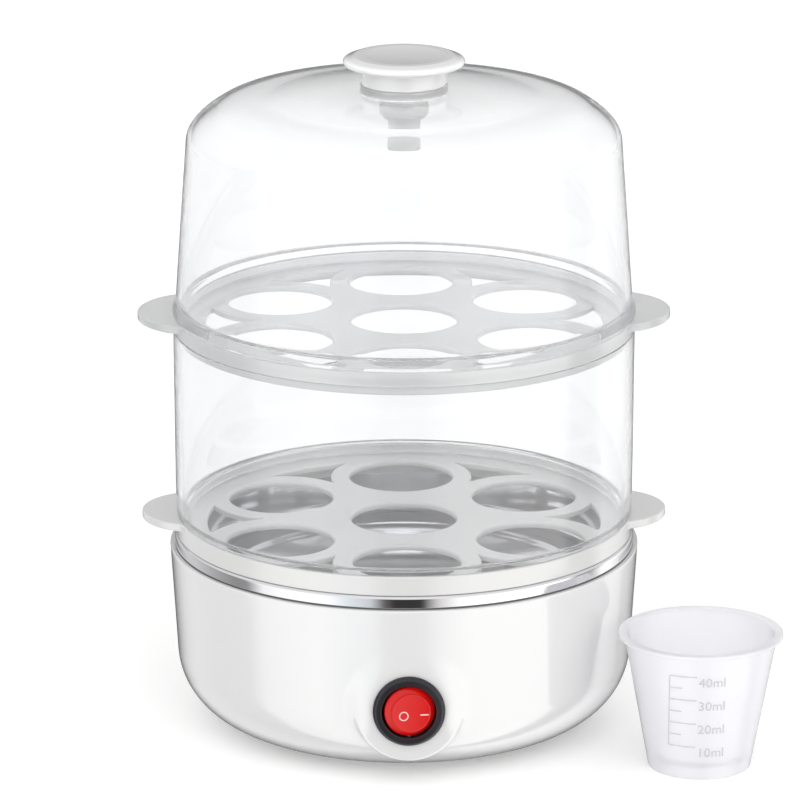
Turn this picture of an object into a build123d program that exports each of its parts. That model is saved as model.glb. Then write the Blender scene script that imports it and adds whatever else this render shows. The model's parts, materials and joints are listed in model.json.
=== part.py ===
"""Two-tier electric egg cooker: a heated base, two egg trays, a clear ring, a domed lid and a water measure.

Millimetres, +Z up. The origin is on the cooker's axis at the worktop, and the switch faces -Y.
"""

import os
from math import cos, isclose, radians, sin, tan

from build123d import *

os.makedirs("parts", exist_ok=True)

# ---------------------------------------------------------------- driving sizes
# Clearances, shared by every piece
lift_gap = 0.3  # sideways, between pieces that lift off each other
drop_gap = 0.2  # round a fixed piece in the opening it drops into
screw_gap = 0.2  # round a screw's shank in a plain hole
pivot_gap = 0.05  # round the switch's pivot pin
soft_edge = 0.5  # rounding of a moulded edge

# Housing
foot_h = 2.0  # feet under the housing
housing_h = 59.5
housing_r = 78.0  # outside, at the top edge
housing_lean = 3.5  # degrees that the side leans outwards
housing_corner = 24.0  # rounded bottom corner
housing_wall = 2.4
underside_ledge = 1.9  # round the opening that the bottom cover fills

# Bottom cover, its screws and the feet
cover_t = 2.4
cover_ring_r = 32.0
cover_ring_h = 3.0
cover_ring_t = 2.0
vent_r, vent_length, vent_width, vent_count = 20.0, 11.0, 2.0, 6
cover_boss_r = 4.0
cover_boss_h = 19.6
cover_boss_inset = 7.9  # from the opening's edge
cover_boss_angles = (0, 120, 240)
rib_t = 2.4
rib_drop = 4.0  # a rib's top below its boss's top
foot_r = 6.0
foot_recess = 0.8
foot_stem_r = 2.0
foot_barb_r = 2.6
foot_barb_h = 2.0
foot_inset = 7.9  # from the opening's edge
foot_angles = (45, 135, 225, 315)

# Screws: one size of thread in the whole base
thread_r = 1.5
head_r = 2.8
head_h = 1.6
cover_screw_grip = 12.0  # length of thread in a boss
head_recess = 1.8  # depth of the cover's hole for a screw head

# Heating dish, pressed from sheet
gasket_t = 0.5
gasket_width = 1.0
band_step = 1.5  # the bright band stands inside the housing's edge
band_h = 4.0
sheet_t = 0.8
rim_width = 3.7  # band to bowl, along the top of the dish
bowl_depth = 18.6
bowl_slope_r, bowl_slope_rise = 8.6, 2.6  # cone between the bowl's wall and its flat
bowl_lean_r = 2.2
roll_r, bowl_corner_r, bowl_flat_r = 1.2, 5.0, 10.0

# Heater under the dish
spreader_r = 50.0
spreader_t = 3.0
element_ring_r = 38.0
element_tube_r = 3.25
element_sunk = 1.6  # how far the tube's top lies up inside the spreader
element_gap = 0.05
element_arc = 300.0  # degrees of ring
elbow_r = 8.0
leg_h = 1.0
insulator_h = 2.0
pin_r = 1.2
pin_h = 9.0

# Brackets that hold the dish down
post_r = 4.2
post_h = 14.0
post_angles = (60, 180, 300)
bracket_t = 1.2
bracket_width = 10.0
bracket_drop = 4.6  # its foot's underside below the dish's
bracket_tail = 5.0  # past the post's middle
bracket_inset = 3.0  # its upright, inside the edge of the bowl's flat
bracket_gap = 1.0  # from the spreader
bracket_reach = 7.0  # from its upright to its screw

# Thermostat and fuse under the spreader
cap_r, cap_lip_r, cap_h, cap_lip_h = 8.6, 9.6, 2.4, 1.6
strap_t = 0.8
strap_r = 11.0
strap_width = 8.0
strap_screw_place = 13.5
strap_reach = 17.0
sensor_r, sensor_h = 8.0, 10.2
tab_t, tab_width, tab_h = 0.8, 6.3, 8.0
tab_place = 4.2
heater_screw_grip = 2.0
fuse_place = 22.0
fuse_r, fuse_half, fuse_wire_r, fuse_wire_half = 1.8, 6.0, 0.5, 13.0
sleeve_wall = 0.7
sleeve_half = 11.0
clip_t = 0.8
clip_width = 8.0
clip_screw_place = 8.0  # from the fuse's middle to its screw
clip_tail = 4.0  # past the screw's middle

# Earth stud
stud_r = 2.0
stud_h = 13.6
stud_x, stud_y = 10.0, 18.0
nut_r, nut_h = 3.6, 3.2
lug_t, lug_r = 0.8, 4.0
lug_drop = 8.8  # its underside below the spreader's
lug_neck = 8.0  # from the stud to the end of its barrel
lug_barrel_r = 1.6

# Cord inlet, shelf and clamp
inlet_drop = 28.5  # its middle below the housing's edge
cord_r = 3.5
inlet_boss_r = 9.5
inlet_stand = 1.0
grommet_r = 5.0
grommet_flange_t = 2.0
grommet_outer_r = 7.6
grommet_inner_r = 6.2
shelf_t = 5.0
shelf_left, shelf_right = -36.0, 14.0
shelf_lead = 16.0  # shelf in front of the clamp
clamp_half, clamp_depth, clamp_t = 12.0, 8.0, 2.4
clamp_gap = 4.9  # from the inlet's wall
clamp_screw_half = 9.0

# Terminal block
block_x = -23.0
block_pitch = 8.0
block_h, block_depth = 12.0, 12.0
block_wire_r = 1.5
block_wire_drop = 6.0
block_screw_r = 1.3

# Switch
switch_drop = 34.0  # its middle below the housing's edge
boss_margin = 5.95  # raised ring round the bezel
switch_stand = 1.2
boss_round = 2.0
barrel_r = 9.9
barrel_depth = 16.0
bezel_lip = 1.85  # round the barrel
bezel_t = 2.0
bezel_round = 0.8
barrel_wall = 1.1
recess_depth = 7.5
snap_h, snap_depth, snap_half = 1.0, 4.6, 3.0
rocker_gap = 0.8  # round the rocker, when level
rocker_tilt = 9.0  # degrees, each way
rocker_drop = 3.0  # the pivot behind the bezel's face
rocker_rise = 4.0  # the rocker's face in front of its pivot
rocker_draft = 1.7  # its face's edge inside its widest part
rocker_edge = 1.6  # its widest part in front of the pivot
rocker_round = 0.4
rocker_back = 1.0
rocker_back_half = 2.6
hub_r, hub_half = 2.8, 5.5
pivot_r = 0.8
pivot_grip = 0.7  # each end of the pin in the barrel's wall
lamp_r, lamp_depth, lamp_gap = 1.5, 7.0, 0.1
contact_width, contact_depth, contact_pitch = 4.8, 9.0, 6.0

# Wires
wire_r = 1.1
wire_bend = 4.0
wire_run = 9.0  # straight run off a terminal
side_lane = 19.0  # wires run this far outside the block
leg_lane = 14.0  # and this far outside the element's first leg
block_lane = 18.0  # and this far in front of the block
wire_into_block = 2.0
boot_wall = 1.4  # insulating boot round a tab
boot_cover = 6.0  # how far a boot covers a switch tab
boot_tail = 6.0  # how far it runs on past the tab
flag_half_h = 3.2

# Egg trays
egg_hole_r = 17.5
egg_margin = 4.8  # between an egg hole and the skirt
egg_count = 6
egg_start = -90
egg_seat = 1.0  # chamfer that the egg rests on
slot_margin = 4.3  # between a slot and the skirt
slot_guard = 6.7  # plate left round each egg hole
slot_inner_drop = 3.5  # a slot starts this far inside the ring of egg holes
slot_round = 1.2
tray_rim_t = 2.0
tray_skirt_t = 1.8
tray_skirt_h = 3.0
ear_t = 2.6
ear_blend = 3.0  # hollow corner where an ear meets the rim
lower_rim_step = 0.5  # inside the band
lower_tray_h = 6.5
lower_recess = 3.5
lower_floor_t = 2.0
lower_ear_r, lower_ear_stand = 19.0, 11.2
upper_rim_step = 0.1  # outside the ring
upper_tray_h = 5.0
upper_recess = 3.2
upper_floor_t = 1.8
upper_ear_r, upper_ear_stand = 22.6, 11.6
nest_depth = 2.5  # how far a ring or lid nests into the tray below it
nest_t = 2.0

# Clear ring
ring_h = 63.5
ring_step, ring_flare = 0.1, 0.4  # inside the lower tray, and wider at the top
ring_wall = 2.2
ring_bead = 2.0  # thick foot of the ring

# Lid
lid_step = 0.1  # its foot stands outside the upper tray
lid_foot_h, lid_flare_h = 1.2, 4.0
lid_flare = 1.1
lid_lean = 3.9  # from the flare to the shoulder
lid_top_h = 74.0
# The shoulder, the bend and the crown: each one's step inwards, and its drop below the top
lid_shoulder_drop = 16.0
lid_bend_step, lid_bend_drop = 9.5, 5.3
lid_bend_angle = 66.0  # degrees that the surface there faces upwards
lid_crown_step, lid_crown_drop = 18.0, 1.9
lid_wall = 2.0
lid_nest_bead = 2.5
knob_seat_r, knob_seat_h = 14.3, 2.6
knob_boss_r, knob_boss_drop = 8.0, 8.5

# Knob
knob_neck_r, knob_neck_h = 14.0, 5.4
knob_r, knob_t = 20.0, 4.0
knob_under_r, knob_top_r = 16.5, 18.2
knob_edge_low, knob_edge_high = 1.5, 2.7
knob_dish = 1.0
knob_round = 0.6
knob_socket_h = 8.0
knob_bolt_r = 2.5
knob_washer_r, knob_washer_t = 7.0, 0.8
knob_nut_r, knob_nut_h, knob_nut_grip = 5.3, 4.8, 3.6

# Water measure
cup_x, cup_y = 96.0, -52.0
cup_h = 45.5
cup_bottom_r, cup_top_r = 16.8, 25.0
cup_wall = 1.2
cup_flange_r, cup_flange_t = 27.0, 1.2
cup_foot = 4.0
cup_floor_t = 1.4
cup_boss_r, cup_boss_h = 2.4, 1.2
needle_r, needle_point_h, needle_clear, needle_hold = 0.6, 1.5, 0.9, 1.6

# ---------------------------------------------------------------- derived places
housing_low_z = foot_h
housing_top_z = housing_low_z + housing_h
switch_z = housing_top_z - switch_drop
inlet_z = housing_top_z - inlet_drop
recess_r = barrel_r - barrel_wall
rocker_r = recess_r - rocker_gap
rocker_face_r = rocker_r - rocker_draft
pivot_half = recess_r + pivot_grip
bezel_r = barrel_r + bezel_lip
switch_boss_r = bezel_r + boss_margin
cover_top_z = housing_low_z + cover_t
corner_z = housing_low_z + housing_corner
dish_low_z = housing_top_z + gasket_t
dish_top_z = dish_low_z + band_h
bowl_low_z = dish_top_z - bowl_depth  # upper face of the bowl's flat
dish_under_z = bowl_low_z - sheet_t
spreader_low_z = dish_under_z - spreader_t
element_z = spreader_low_z + element_sunk - element_tube_r
cover_boss_top_z = cover_top_z + cover_boss_h
shelf_low_z = inlet_z + cord_r
shelf_top_z = shelf_low_z + shelf_t
clamp_top_z = inlet_z - cord_r
clamp_low_z = clamp_top_z - clamp_t
block_low_z = shelf_low_z - block_h
block_wire_z = shelf_low_z - block_wire_drop
leg_top_z = element_z - elbow_r
leg_low_z = leg_top_z - leg_h
insulator_low_z = leg_low_z - insulator_h
pin_low_z = leg_low_z - pin_h
strap_low_z = spreader_low_z - strap_t
cap_low_z = spreader_low_z - cap_h
sensor_low_z = cap_low_z - sensor_h
tab_low_z = sensor_low_z - tab_h
bracket_low_z = dish_under_z - bracket_drop
post_top_z = bracket_low_z
post_low_z = post_top_z - post_h
lower_seat_z = dish_top_z
lower_top_z = lower_seat_z + lower_tray_h
ring_top_z = lower_top_z + ring_h
upper_seat_z = ring_top_z
upper_top_z = upper_seat_z + upper_tray_h
lid_low_z = upper_top_z
knob_seat_z = lid_low_z + lid_top_h + knob_seat_h
knob_boss_low_z = lid_low_z + lid_top_h - knob_boss_drop
lid_shoulder_z = lid_low_z + lid_top_h - lid_shoulder_drop
lid_bend_z = lid_low_z + lid_top_h - lid_bend_drop
lid_crown_z = lid_low_z + lid_top_h - lid_crown_drop
wire_z = switch_z
lug_low_z = spreader_low_z - lug_drop


def at(radius, angle):
    """The point at a radius and an angle in degrees, seen from above."""
    return (radius * cos(radians(angle)), radius * sin(radians(angle)))


def housing_radius(z, inset=0.0):
    """Outer radius of the leaning side at a height, less a wall measured square to it."""
    lean = radians(housing_lean)
    return housing_r - (housing_top_z - z) * tan(lean) - inset / cos(lean)


corner_middle_r = housing_radius(corner_z, housing_corner)
underside_r = corner_middle_r - underside_ledge
cover_boss_place = underside_r - cover_boss_inset
foot_place = underside_r - foot_inset
boss_face_y = -(housing_radius(switch_z) + switch_stand)
pocket_front_y = boss_face_y + housing_wall
inlet_face_y = housing_radius(inlet_z) + inlet_stand
inlet_back_y = inlet_face_y - housing_wall
bezel_face_y = boss_face_y - bezel_t
pivot_y = bezel_face_y + rocker_drop
barrel_back_y = boss_face_y + barrel_depth
recess_floor_y = bezel_face_y + recess_depth
contact_end_y = barrel_back_y + contact_depth
boot_start_y = contact_end_y - boot_cover
boot_end_y = contact_end_y + boot_tail
band_r = housing_r - band_step
bowl_rim_r = band_r - rim_width
bowl_foot_r = bowl_rim_r - bowl_lean_r
bowl_floor_r = bowl_foot_r - bowl_slope_r
bracket_tip = spreader_r + bracket_gap
bracket_step = bowl_floor_r - bracket_inset
post_place = bracket_step + bracket_reach
sleeve_bore_r = fuse_r + drop_gap
sleeve_r = sleeve_bore_r + sleeve_wall
fuse_z = spreader_low_z - sleeve_r - drop_gap
clamp_front = inlet_back_y - clamp_gap - clamp_depth
shelf_front = clamp_front - shelf_lead
block_half = 1.5 * block_pitch
block_back_y = shelf_front + block_depth
block_mid_y = shelf_front + block_depth / 2
clamp_mid_y = clamp_front + clamp_depth / 2
lower_tray_r = band_r - lower_rim_step
lower_skirt_r = bowl_rim_r - roll_r
lower_nest_r = lower_tray_r - tray_rim_t - lift_gap
ring_bottom_r = lower_tray_r - ring_step
ring_top_r = ring_bottom_r + ring_flare
upper_tray_r = ring_top_r + upper_rim_step
upper_skirt_r = ring_top_r - ring_wall - lift_gap
upper_nest_r = upper_tray_r - tray_rim_t - lift_gap
egg_ring_r = lower_skirt_r - tray_skirt_t - egg_margin - egg_hole_r
slot_outer_r = lower_skirt_r - tray_skirt_t - slot_margin
slot_inner_r = egg_ring_r - slot_inner_drop
lid_foot_r = upper_tray_r + lid_step
lid_wall_r = lid_foot_r - lid_flare  # just above the flare
lid_shoulder_r = lid_wall_r - lid_lean
lid_bend_r = lid_shoulder_r - lid_bend_step
lid_crown_r = lid_bend_r - lid_crown_step

pole_x = [block_x + block_pitch * step for step in (-1, 0, 1)]
cover_spots = [at(cover_boss_place, angle) for angle in cover_boss_angles]
foot_spots = [at(foot_place, angle) for angle in foot_angles]
post_spots = [at(post_place, angle) for angle in post_angles]
clamp_spots = [(side * clamp_screw_half, clamp_mid_y) for side in (-1, 1)]
block_spots = [(block_x + side * block_pitch / 2, block_mid_y) for side in (-1, 1)]
pole_spots = [(x, block_mid_y) for x in pole_x]
strap_spots = [(0, side * strap_screw_place) for side in (-1, 1)]
clip_spots = [(-fuse_place - clip_screw_place, 0)]
tab_x = [side * tab_place for side in (-1, 1)]
contact_x = [contact_pitch * step for step in (-1, 0, 1)]
ring_eggs = [at(egg_ring_r, egg_start + turn * 360 / egg_count) for turn in range(egg_count)]
egg_spots = [(0, 0)] + ring_eggs

# The element's two ends: where each leaves the ring, and the way it heads
element_ends = []
for end_angle, heading in ((0.0, -1.0), (element_arc, 1.0)):
    turn = radians(end_angle)
    element_ends.append((*at(element_ring_r, end_angle), -heading * sin(turn), heading * cos(turn)))
leg_spots = [(x + elbow_r * dx, y + elbow_r * dy) for x, y, dx, dy in element_ends]


# ---------------------------------------------------------------- shared shapes
def rods(low, high, radius, spots, mode=Mode.ADD):
    """Upright round rods, or holes, between two heights at each spot."""
    with BuildSketch(Plane.XY.offset(low)) as discs:
        with Locations(*spots):
            Circle(radius)
    extrude(discs.sketch, amount=high - low, mode=mode)


def slab(low, high, left, right, front, back, mode=Mode.ADD):
    """An upright block between two heights and four sides."""
    with BuildSketch(Plane.XY.offset(low)) as outline:
        with Locations(((left + right) / 2, (front + back) / 2)):
            Rectangle(right - left, back - front)
    extrude(outline.sketch, amount=high - low, mode=mode)


def upright(points, spot=(0, 0), mode=Mode.ADD):
    """A solid turned about an upright line, from the (radius, height) corners of its half section."""
    x, y = spot
    with BuildSketch(Plane(origin=(x, y, 0), x_dir=(1, 0, 0), z_dir=(0, -1, 0))) as half:
        with BuildLine():
            Polyline(*points, close=True)
        make_face()
    revolve(half.sketch, axis=Axis((x, y, 0), (0, 0, 1)), mode=mode)


def level(points, z, mode=Mode.ADD, rounding=0.0, corner=1):
    """A solid turned about a line along Y at a height, from the (radius, y) corners of its half section."""
    with BuildSketch(Plane.XY.offset(z)) as half:
        with BuildLine():
            Polyline(*points, close=True)
        make_face()
        if rounding:
            sharp = [v for v in vertices() if (Vector(*points[corner]) - Vector(v.X, v.Y)).length < soft_edge]
            fillet(sharp, rounding)
    revolve(half.sketch, axis=Axis((0, 0, z), (0, 1, 0)), mode=mode)


def side_rod(z, radius, front, back, mode=Mode.ADD, rounding=0.0):
    """A rod, or a hole, along Y from a front to a back, with its front edge rounded."""
    level([(0, front), (radius, front), (radius, back), (0, back)], z, mode, rounding)


def screws(head_low, spots, thread_top):
    """Pan-head screws, driven upwards from below."""
    rods(head_low, head_low + head_h, head_r, spots)
    rods(head_low + head_h, thread_top, thread_r, spots)


def radial_plane(angle):
    """The upright plane through the axis at an angle: x runs outwards and y up."""
    turn = radians(angle)
    return Plane(origin=(0, 0, 0), x_dir=(cos(turn), sin(turn), 0), z_dir=(sin(turn), -cos(turn), 0))


def ribs(angles, start, low, high, thickness):
    """Upright ribs that run outwards from a radius to the housing's side."""
    for angle in angles:
        with BuildSketch(radial_plane(angle)) as rib:
            with Locations(((start + housing_r) / 2, (low + high) / 2)):
                Rectangle(housing_r - start, high - low)
        extrude(rib.sketch, amount=thickness / 2, both=True)


def housing_body(inset, mode=Mode.ADD):
    """The housing's outline, drawn in by a wall, as a solid of revolution."""
    radius = housing_corner - inset
    with BuildSketch(Plane.XZ) as section:
        with BuildLine():
            corner = CenterArc((corner_middle_r, corner_z), radius, -90, 90 - housing_lean)
            side = Line(corner @ 1, (housing_radius(housing_top_z, inset), housing_top_z))
            Polyline(side @ 1, (0, housing_top_z), (0, corner_z - radius), corner @ 0)
        make_face()
    revolve(section.sketch, axis=Axis.Z, mode=mode)


def wire(points):
    """An insulated wire along straight runs joined by bends."""
    with BuildLine() as route:
        FilletPolyline(*points, radius=wire_bend)
    with BuildSketch(Plane(origin=route.line @ 0, z_dir=route.line % 0)) as section:
        Circle(wire_r)
    sweep(section.sketch, path=route.line)


# ---------------------------------------------------------------- housing and cover
with BuildPart() as housing_outline:
    housing_body(0)
    fillet(edges().group_by(Axis.Z)[-1], soft_edge)
    side_rod(switch_z, switch_boss_r, boss_face_y, 0, rounding=boss_round)
    side_rod(inlet_z, inlet_boss_r, inlet_face_y, 0, rounding=soft_edge)

with BuildPart() as base_housing:
    add(housing_outline.part)
    housing_body(housing_wall, Mode.SUBTRACT)
    rods(housing_low_z, cover_top_z, underside_r, [(0, 0)], Mode.SUBTRACT)
    side_rod(switch_z, switch_boss_r - housing_wall, pocket_front_y, 0, Mode.SUBTRACT)
    side_rod(inlet_z, inlet_boss_r - housing_wall, inlet_back_y, 0, Mode.SUBTRACT)
    # Bosses for the cover, posts for the dish and a shelf for the wiring, all tied to the wall
    rods(cover_top_z, cover_boss_top_z, cover_boss_r, cover_spots)
    ribs(cover_boss_angles, cover_boss_place, cover_top_z, cover_boss_top_z - rib_drop, rib_t)
    rods(post_low_z, post_top_z, post_r, post_spots)
    ribs(post_angles, post_place, post_low_z, post_top_z, 2 * rib_t)
    slab(shelf_low_z, shelf_top_z, shelf_left, shelf_right, shelf_front, housing_r)
    add(housing_outline.part, mode=Mode.INTERSECT)
    rods(cover_top_z, cover_top_z + cover_screw_grip, thread_r, cover_spots, Mode.SUBTRACT)
    rods(post_low_z, post_top_z, thread_r + screw_gap, post_spots, Mode.SUBTRACT)
    rods(shelf_low_z, shelf_top_z, thread_r, clamp_spots + block_spots, Mode.SUBTRACT)
    side_rod(switch_z, barrel_r + drop_gap, boss_face_y, barrel_back_y, Mode.SUBTRACT)
    side_rod(inlet_z, grommet_r, inlet_face_y, inlet_back_y, Mode.SUBTRACT)
    grommet_front_y = inlet_back_y - grommet_flange_t - drop_gap
    side_rod(inlet_z, grommet_inner_r + drop_gap, grommet_front_y, inlet_back_y, Mode.SUBTRACT)
base_housing.part.label = "base_housing"
export_step(base_housing.part, "parts/base_housing.step")

with BuildPart() as bottom_cover:
    rods(housing_low_z, cover_top_z, underside_r - drop_gap, [(0, 0)])
    rods(cover_top_z, cover_top_z + cover_ring_h, cover_ring_r, [(0, 0)])
    rods(cover_top_z, cover_top_z + cover_ring_h, cover_ring_r - cover_ring_t, [(0, 0)], Mode.SUBTRACT)
    rods(housing_low_z, cover_top_z, thread_r + screw_gap, cover_spots, Mode.SUBTRACT)
    rods(housing_low_z, housing_low_z + head_recess, head_r + drop_gap, cover_spots, Mode.SUBTRACT)
    rods(housing_low_z, cover_top_z, foot_stem_r, foot_spots, Mode.SUBTRACT)
    rods(housing_low_z, housing_low_z + foot_recess, foot_r + drop_gap, foot_spots, Mode.SUBTRACT)
    with BuildSketch(Plane.XY.offset(housing_low_z)):
        with PolarLocations(vent_r, vent_count, start_angle=180 / vent_count):
            SlotOverall(vent_length, vent_width)
    extrude(amount=cover_t, mode=Mode.SUBTRACT)
bottom_cover.part.label = "bottom_cover"
export_step(bottom_cover.part, "parts/bottom_cover.step")

with BuildPart() as cover_screws:
    cover_head_z = housing_low_z + head_recess - head_h
    screws(cover_head_z, cover_spots, cover_top_z + cover_screw_grip)
cover_screws.part.label = "cover_screws"
export_step(cover_screws.part, "parts/cover_screws.step")

with BuildPart() as rubber_feet:
    pad_top_z = housing_low_z + foot_recess
    barb_top_z = cover_top_z + foot_barb_h
    for foot_spot in foot_spots:
        upright(
            [
                (0, 0),
                (foot_r - soft_edge, 0),
                (foot_r, soft_edge),
                (foot_r, pad_top_z),
                (foot_stem_r, pad_top_z),
                (foot_stem_r, cover_top_z),
                (foot_barb_r, cover_top_z),
                (foot_stem_r, barb_top_z),
                (0, barb_top_z),
            ],
            foot_spot,
        )
rubber_feet.part.label = "rubber_feet"
export_step(rubber_feet.part, "parts/rubber_feet.step")

# ---------------------------------------------------------------- dish and its brackets
with BuildPart() as heating_dish:
    with BuildSketch(Plane.XZ):
        with BuildLine():
            FilletPolyline(
                (band_r, dish_low_z),
                (band_r, dish_top_z),
                (bowl_rim_r, dish_top_z),
                (bowl_foot_r, bowl_low_z + bowl_slope_rise),
                (bowl_floor_r, bowl_low_z),
                (0, bowl_low_z),
                radius=[roll_r, roll_r, bowl_corner_r, bowl_flat_r],
            )
            offset(amount=sheet_t, side=Side.LEFT)
        make_face()
    revolve(axis=Axis.Z)
heating_dish.part.label = "heating_dish"
export_step(heating_dish.part, "parts/heating_dish.step")

with BuildPart() as dish_gasket:
    rods(housing_top_z, dish_low_z, band_r, [(0, 0)])
    rods(housing_top_z, dish_low_z, band_r - gasket_width, [(0, 0)], Mode.SUBTRACT)
dish_gasket.part.label = "dish_gasket"
export_step(dish_gasket.part, "parts/dish_gasket.step")

with BuildPart() as dish_brackets:
    for bracket_angle in post_angles:
        with BuildSketch(radial_plane(bracket_angle)):
            with BuildLine():
                Polyline(
                    (bracket_tip, dish_under_z),
                    (bracket_step + bracket_t, dish_under_z),
                    (bracket_step + bracket_t, bracket_low_z + bracket_t),
                    (post_place + bracket_tail, bracket_low_z + bracket_t),
                    (post_place + bracket_tail, bracket_low_z),
                    (bracket_step, bracket_low_z),
                    (bracket_step, dish_under_z - bracket_t),
                    (bracket_tip, dish_under_z - bracket_t),
                    close=True,
                )
            make_face()
        extrude(amount=bracket_width / 2, both=True)
    rods(bracket_low_z, bracket_low_z + bracket_t, thread_r, post_spots, Mode.SUBTRACT)
dish_brackets.part.label = "dish_brackets"
export_step(dish_brackets.part, "parts/dish_brackets.step")

with BuildPart() as dish_screws:
    screws(post_low_z - head_h, post_spots, bracket_low_z + 2 * bracket_t)
dish_screws.part.label = "dish_screws"
export_step(dish_screws.part, "parts/dish_screws.step")

# ---------------------------------------------------------------- heater
with BuildPart() as heat_spreader:
    rods(spreader_low_z, dish_under_z, spreader_r, [(0, 0)])
    with BuildSketch(Plane.XZ):
        with Locations((element_ring_r, element_z)):
            Circle(element_tube_r + element_gap)
    revolve(axis=Axis.Z, mode=Mode.SUBTRACT)
    heater_spots = strap_spots + clip_spots
    rods(spreader_low_z, spreader_low_z + heater_screw_grip, thread_r, heater_spots, Mode.SUBTRACT)
heat_spreader.part.label = "heat_spreader"
export_step(heat_spreader.part, "parts/heat_spreader.step")

with BuildPart() as heating_element:
    with BuildSketch(Plane.XZ):
        with Locations((element_ring_r, element_z)):
            Circle(element_tube_r)
    revolve(axis=Axis.Z, revolution_arc=element_arc)
    for end_x, end_y, way_x, way_y in element_ends:
        with BuildSketch(Plane(origin=(end_x, end_y, element_z), z_dir=(way_x, way_y, 0))):
            Circle(element_tube_r)
        revolve(axis=Axis((end_x, end_y, leg_top_z), (-way_y, way_x, 0)), revolution_arc=90)
    rods(leg_low_z, leg_top_z, element_tube_r, leg_spots)
heating_element.part.label = "heating_element"
export_step(heating_element.part, "parts/heating_element.step")

with BuildPart() as element_insulators:
    rods(insulator_low_z, leg_low_z, element_tube_r, leg_spots)
    rods(insulator_low_z, leg_low_z, pin_r, leg_spots, Mode.SUBTRACT)
element_insulators.part.label = "element_insulators"
export_step(element_insulators.part, "parts/element_insulators.step")

with BuildPart() as element_pins:
    rods(pin_low_z, leg_low_z, pin_r, leg_spots)
element_pins.part.label = "element_pins"
export_step(element_pins.part, "parts/element_pins.step")

with BuildPart() as thermostat_cap:
    rods(cap_low_z, cap_low_z + cap_lip_h, cap_lip_r, [(0, 0)])
    rods(cap_low_z, spreader_low_z, cap_r, [(0, 0)])
thermostat_cap.part.label = "thermostat_cap"
export_step(thermostat_cap.part, "parts/thermostat_cap.step")

with BuildPart() as thermostat_body:
    rods(sensor_low_z, cap_low_z, sensor_r, [(0, 0)])
    fillet(edges().group_by(Axis.Z)[0], soft_edge)
thermostat_body.part.label = "thermostat_body"
export_step(thermostat_body.part, "parts/thermostat_body.step")

with BuildPart() as thermostat_tabs:
    for middle_x in tab_x:
        left_x, right_x = middle_x - tab_t / 2, middle_x + tab_t / 2
        slab(tab_low_z, sensor_low_z, left_x, right_x, -tab_width / 2, tab_width / 2)
thermostat_tabs.part.label = "thermostat_tabs"
export_step(thermostat_tabs.part, "parts/thermostat_tabs.step")

with BuildPart() as thermostat_strap:
    with BuildSketch(Plane.XY.offset(strap_low_z)):
        Circle(strap_r)
        RectangleRounded(strap_width, 2 * strap_reach, strap_width / 3)
        Circle(cap_r, mode=Mode.SUBTRACT)
        with Locations(*strap_spots):
            Circle(thread_r + screw_gap, mode=Mode.SUBTRACT)
    extrude(amount=strap_t)
thermostat_strap.part.label = "thermostat_strap"
export_step(thermostat_strap.part, "parts/thermostat_strap.step")

with BuildPart() as heater_screws:
    screws(strap_low_z - head_h, heater_spots, spreader_low_z + heater_screw_grip)
heater_screws.part.label = "heater_screws"
export_step(heater_screws.part, "parts/heater_screws.step")

with BuildPart() as thermal_fuse:
    with Locations((-fuse_place, 0, fuse_z)):
        Cylinder(fuse_r, 2 * fuse_half, rotation=(90, 0, 0))
        Cylinder(fuse_wire_r, 2 * fuse_wire_half, rotation=(90, 0, 0))
thermal_fuse.part.label = "thermal_fuse"
export_step(thermal_fuse.part, "parts/thermal_fuse.step")

with BuildPart() as fuse_sleeve:
    with Locations((-fuse_place, 0, fuse_z)):
        Cylinder(sleeve_r, 2 * sleeve_half, rotation=(90, 0, 0))
        Cylinder(sleeve_bore_r, 2 * sleeve_half, rotation=(90, 0, 0), mode=Mode.SUBTRACT)
fuse_sleeve.part.label = "fuse_sleeve"
export_step(fuse_sleeve.part, "parts/fuse_sleeve.step")

with BuildPart() as fuse_clip:
    clip_rise = spreader_low_z - fuse_z
    clip_r = sleeve_r + clip_t
    flange_left = -fuse_place - clip_screw_place - clip_tail
    flange_right = -fuse_place - sleeve_r
    with BuildSketch(Plane.XZ):
        with Locations((-fuse_place, fuse_z)):
            Circle(clip_r)
            Rectangle(2 * clip_r, clip_rise, align=(Align.CENTER, Align.MIN))
            Circle(sleeve_r, mode=Mode.SUBTRACT)
            Rectangle(2 * sleeve_r, clip_rise, align=(Align.CENTER, Align.MIN), mode=Mode.SUBTRACT)
        with Locations(((flange_left + flange_right) / 2, spreader_low_z - strap_t / 2)):
            Rectangle(flange_right - flange_left, strap_t)
    extrude(amount=clip_width / 2, both=True)
    slab(spreader_low_z, spreader_low_z + clip_r, flange_left, 0, -clip_width, clip_width, Mode.SUBTRACT)
    rods(strap_low_z, spreader_low_z, thread_r + screw_gap, clip_spots, Mode.SUBTRACT)
fuse_clip.part.label = "fuse_clip"
export_step(fuse_clip.part, "parts/fuse_clip.step")

# ---------------------------------------------------------------- earth stud
stud_spot = (stud_x, stud_y)
with BuildPart() as earth_stud:
    rods(spreader_low_z - stud_h, spreader_low_z, stud_r, [stud_spot])
earth_stud.part.label = "earth_stud"
export_step(earth_stud.part, "parts/earth_stud.step")

with BuildPart() as earth_lug:
    with BuildSketch(Plane.XY.offset(lug_low_z)):
        with Locations(stud_spot):
            Circle(lug_r)
            Rectangle(lug_neck, 2 * lug_barrel_r, align=(Align.MAX, Align.CENTER))
            Circle(stud_r, mode=Mode.SUBTRACT)
    extrude(amount=lug_t)
earth_lug.part.label = "earth_lug"
export_step(earth_lug.part, "parts/earth_lug.step")

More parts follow.
